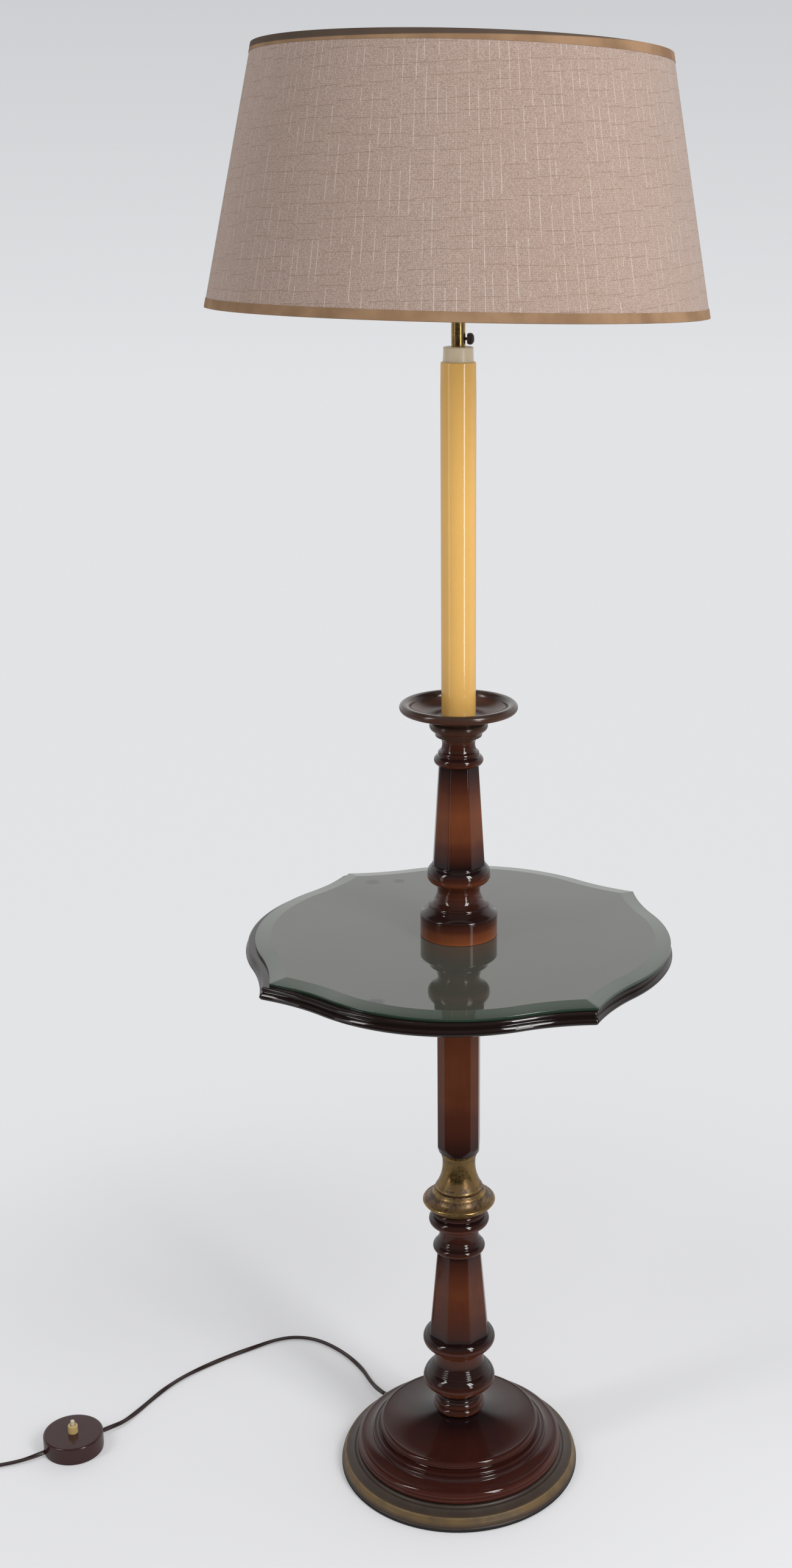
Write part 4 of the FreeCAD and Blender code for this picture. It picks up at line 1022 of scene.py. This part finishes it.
def half_side(offset):
    """From a pointed corner along the hollow to just short of the middle of a bulge."""
    centre = SIDE_REACH - BULGE_RADIUS
    ux, uy = sin(HALF_BULGE), cos(HALF_BULGE)
    wx, wy = CORNER_REACH, CORNER_REACH - centre
    along = ux * wx + uy * wy
    hollow = (2 * BULGE_RADIUS * along - BULGE_RADIUS ** 2 - wx ** 2 - wy ** 2) / (2 * (BULGE_RADIUS - along))
    cx, cy = (BULGE_RADIUS + hollow) * ux, centre + (BULGE_RADIUS + hollow) * uy
    radius, bulge = hollow - offset, BULGE_RADIUS + offset
    tip = ((cx + cy) - sqrt((cx + cy) ** 2 - 2 * (cx ** 2 + cy ** 2 - radius ** 2))) / 2
    start = atan2(tip - cy, tip - cx)
    end = atan2(centre + bulge * uy - cy, bulge * ux - cx)
    points = []
    for k in range(HOLLOW_STEPS):
        a = start + (end - start) * k / HOLLOW_STEPS
        points.append((cx + radius * cos(a), cy + radius * sin(a)))
    for k in range(BULGE_STEPS):
        a = HALF_BULGE * (1 - k / BULGE_STEPS)
        points.append((bulge * sin(a), centre + bulge * cos(a)))
    return points


def bracket_outline(offset, z, shift=0.0):
    """Four long bulges and hollow runs into four pointed corners, moved outward by offset."""
    half = half_side(offset)
    side = half + [(0, SIDE_REACH + offset)] + [(-x, y) for x, y in reversed(half[1:])]
    points = []
    for quarter in range(4):
        a = radians(TABLE_TURN + 90 * quarter)
        points += [(x * cos(a) - y * sin(a) + shift, x * sin(a) + y * cos(a), z) for x, y in side]
    return points


def hole_like(points, radius, z, shift=0.0):
    """A round hole on the axle with a point for each of the given ones."""
    angles = [atan2(p[1], p[0] - shift) for p in points]
    return [(radius * cos(a), radius * sin(a), z) for a in angles]


def make_table():
    edge = smooth_outline(BOARD_EDGE, 0.9, step=0.8, closed=False)
    rings = [bracket_outline(out, BOARD_LOW + up) for out, up, _ in edge]
    rings = [hole_like(rings[0], AXLE, BOARD_LOW)] + rings + [hole_like(rings[-1], AXLE, BOARD_HIGH)]
    loft("table_board", rings, "table_wood", closed=True, tone=[0.3] * (len(rings[0]) * len(rings)),
         stands_for=["table_top"])
    plate = [bracket_outline(out, z, GLASS_SHIFT) for out, z in GLASS_PROFILE]
    rings = [hole_like(plate[0], GLASS_HOLE, BOARD_HIGH, GLASS_SHIFT)] + plate
    rings.append(hole_like(plate[-1], GLASS_HOLE, 703, GLASS_SHIFT))
    count = len(plate[0])
    bevelled = [1.0] * (count * (len(rings) - 2)) + [0.0] * (count * 2)
    loft("glass_plate", rings, "smoked_glass", closed=True, tone=bevelled, stands_for=["glass_top"])


# ---- shade -----------------------------------------------------------------------------------
SHADE = {"low": 1395.4, "top": 1650, "r_low": 261.3, "r_top": 211.5, "shift": 2, "back": 1.01, "right": 1.13}
LEAN = atan((SHADE["r_low"] - SHADE["r_top"]) / (SHADE["top"] - SHADE["low"]))
SLANT = (SHADE["top"] - SHADE["low"]) / cos(LEAN)
SHADE_SEGMENTS = 360
EDGE_GAP = 0.5
CLOTH_OUT, CLOTH_IN, LINER_IN = 0.5, 1.3, 2.1
TAPE_WIDE, TAPE_WIDE_INSIDE, TAPE_IN = 9.5, 6, 2.6


def on_slant(up, inward):
    return (SHADE["r_low"] - up * sin(LEAN) - inward * cos(LEAN),
            SHADE["low"] + up * cos(LEAN) - inward * sin(LEAN))


def hang(point):
    """Where the slightly bent carrier holds a point of the shade."""
    centre = Vector((SHADE["shift"], 0, (SHADE["low"] + SHADE["top"]) / 2))
    turn = Matrix.Rotation(radians(SHADE["right"]), 3, "Y") @ Matrix.Rotation(radians(-SHADE["back"]), 3, "X")
    return tuple(centre + turn @ (Vector((point[0] + SHADE["shift"], point[1], point[2])) - centre))


def shade_ring(name, outline, look, node):
    """Ring round the shade, from an outline of (distance up the slant, distance inward) points."""
    rings = []
    angles = [tau * k / SHADE_SEGMENTS for k in range(SHADE_SEGMENTS)]
    for up, inward in outline:
        r, z = on_slant(up, inward)
        rings.append([hang((r * cos(a), r * sin(a), z)) for a in angles])
    return loft(name, rings, look, closed=True, body="shade", stands_for=[node])


def wall(outside, inside):
    low, high = EDGE_GAP, SLANT - EDGE_GAP
    return [(low, outside), (high, outside), (high, inside), (low, inside)]


def folded_tape(edge, way):
    """A tape folded round the rim at edge; way says on which side of it the shade lies."""
    return [(edge + way * up, inward) for up, inward in (
        (0, 0.2), (0.2, 0), (TAPE_WIDE - 0.2, 0), (TAPE_WIDE, 0.2), (TAPE_WIDE, CLOTH_OUT),
        (EDGE_GAP, CLOTH_OUT), (EDGE_GAP, LINER_IN), (TAPE_WIDE_INSIDE, LINER_IN),
        (TAPE_WIDE_INSIDE, TAPE_IN), (0, TAPE_IN))]


def make_shade():
    cloth = shade_ring("shade_cover", wall(CLOTH_OUT, CLOTH_IN), "shade_cloth", "shade_fabric")
    shade_ring("shade_inside", wall(CLOTH_IN, LINER_IN), "shade_liner", "shade_lining")
    tapes = [shade_ring("tape_low", folded_tape(0, 1), "shade_tape", "tape_bottom"),
             shade_ring("tape_high", folded_tape(SLANT, -1), "shade_tape", "tape_top")]


# ---- foot switch and plug --------------------------------------------------------------------
SWITCH = (-485.5, 20.5)
SWITCH_RADIUS = 37.1
MOUTH_RADIUS = 3.2
MOUTH_HEIGHT = 7.0
MOUTH_SIDES = 24
PLUG_SIDES = 48
PLUG_STEPS = 8


def make_switch():
    lathe("switch_shell", "switch_housing", [
        (35.1, 3), (SWITCH_RADIUS, 3), (SWITCH_RADIUS, 21), (36.5, 22.4, 35.1, 23), (4.2, 23), (4.2, 21),
        (35.1, 21)], "switch_brown", centre=SWITCH, segments=128)
    lathe("switch_foot", "switch_base", [(0, 0), (35.7, 0), (36.7, 0.6), (36.7, 3), (0, 3)], "switch_brown",
          centre=SWITCH, segments=96)
    lathe("switch_bush", "switch_collar", [
        (2.65, 18), (4, 18), (4, 23), (6.3, 23), (6.3, 23.8), (6, 32), (5.7, 32.9, 4.9, 33.2),
        (3.7, 33.2), (2.65, 31.6)], "switch_cream", centre=SWITCH, segments=64, step=0.4)
    lathe("switch_push", "switch_button", [
        (0, 19.4), (2.6, 19.4), (2.6, 38.8), (1.9, 39.7, 0.4, 40), (0, 40)], "button_cream", centre=SWITCH,
        segments=48, body="foot_button", slot="switch_cream")
    lead_mouth("lead_mouth_in", 38)
    lead_mouth("lead_mouth_out", 209)


def lead_mouth(name, azimuth):
    """The dark opening where a lead enters the switch: a flush black plug in the housing's wall, a dark piece
    put in as painted shade for the hole's inside.
    """
    turns = [tau * k / MOUTH_SIDES for k in range(MOUTH_SIDES)]
    rim = [(MOUTH_RADIUS * cos(t), MOUTH_HEIGHT + MOUTH_RADIUS * sin(t)) for t in turns]
    points = []
    for reach in (SWITCH_RADIUS + 0.03, SWITCH_RADIUS - 0.8):
        for side, height in [(0, MOUTH_HEIGHT)] + rim:
            a = radians(azimuth) + side / SWITCH_RADIUS
            points.append((SWITCH[0] + reach * cos(a), SWITCH[1] + reach * sin(a), height))
    back = MOUTH_SIDES + 1
    pairs = [(k, k % MOUTH_SIDES + 1) for k in range(1, back)]
    faces = [(0, k, n) for k, n in pairs]
    faces += [(back, back + n, back + k) for k, n in pairs]
    faces += [(k, back + k, back + n, n) for k, n in pairs]
    new_piece(name, points, faces, "tie_black")


PLUG_X = -693.8
PLUG_START = 14 + CORD + 53
PLUG_STATIONS = [
    # along, wide, thick
    (0, 9, 8.6), (14, 11, 10), (22, 17, 12), (30, 24, 13.6), (40, 27, 14), (50, 26, 13.6)]


def plug_ring(along, wide, thick):
    turns = [tau * n / PLUG_SIDES for n in range(PLUG_SIDES)]
    return [(PLUG_X + wide / 2 * cos(t), PLUG_START + along, PLUG_HEIGHT + thick / 2 * sin(t)) for t in turns]


def make_plug():
    """The moulded body swells smoothly from each station to the next."""
    rings = []
    for first, second in zip(PLUG_STATIONS, PLUG_STATIONS[1:]):
        is_last = second is PLUG_STATIONS[-1]
        for k in range(PLUG_STEPS + is_last):
            s = k / PLUG_STEPS
            ease = 3 * s * s - 2 * s ** 3
            rings.append(plug_ring(*[a + (b - a) * t for a, b, t in zip(first, second, (s, ease, ease))]))
    plug = loft("plug", rings, "switch_brown", stands_for=["plug_body"])
    return [plug, frame["nodes"]["plug_pins"]]


# ---- everything ------------------------------------------------------------------------------
def dress_kept_nodes():
    """Give each CAD node the look that its slot names."""
    slots = {part["node"]: part["material_slot"] for part in frame["record"]["subparts"]}
    for name, node in frame["nodes"].items():
        look = LOOKS[slots[name]]
        if node.material_slots:
            for place in node.material_slots:
                place.material = look
        else:
            node.data.materials.append(look)


def main():
    make_camera()
    make_materials()
    dress_kept_nodes()
    make_switch()
    plug = make_plug()
    make_cords()
    make_base()
    make_column()
    make_shaft()
    make_brass()
    make_candle()
    make_holder()
    make_bulb()
    make_table()
    make_shade()
    make_studio()
    bpy.context.scene.view_settings.view_transform = "Standard"


main()
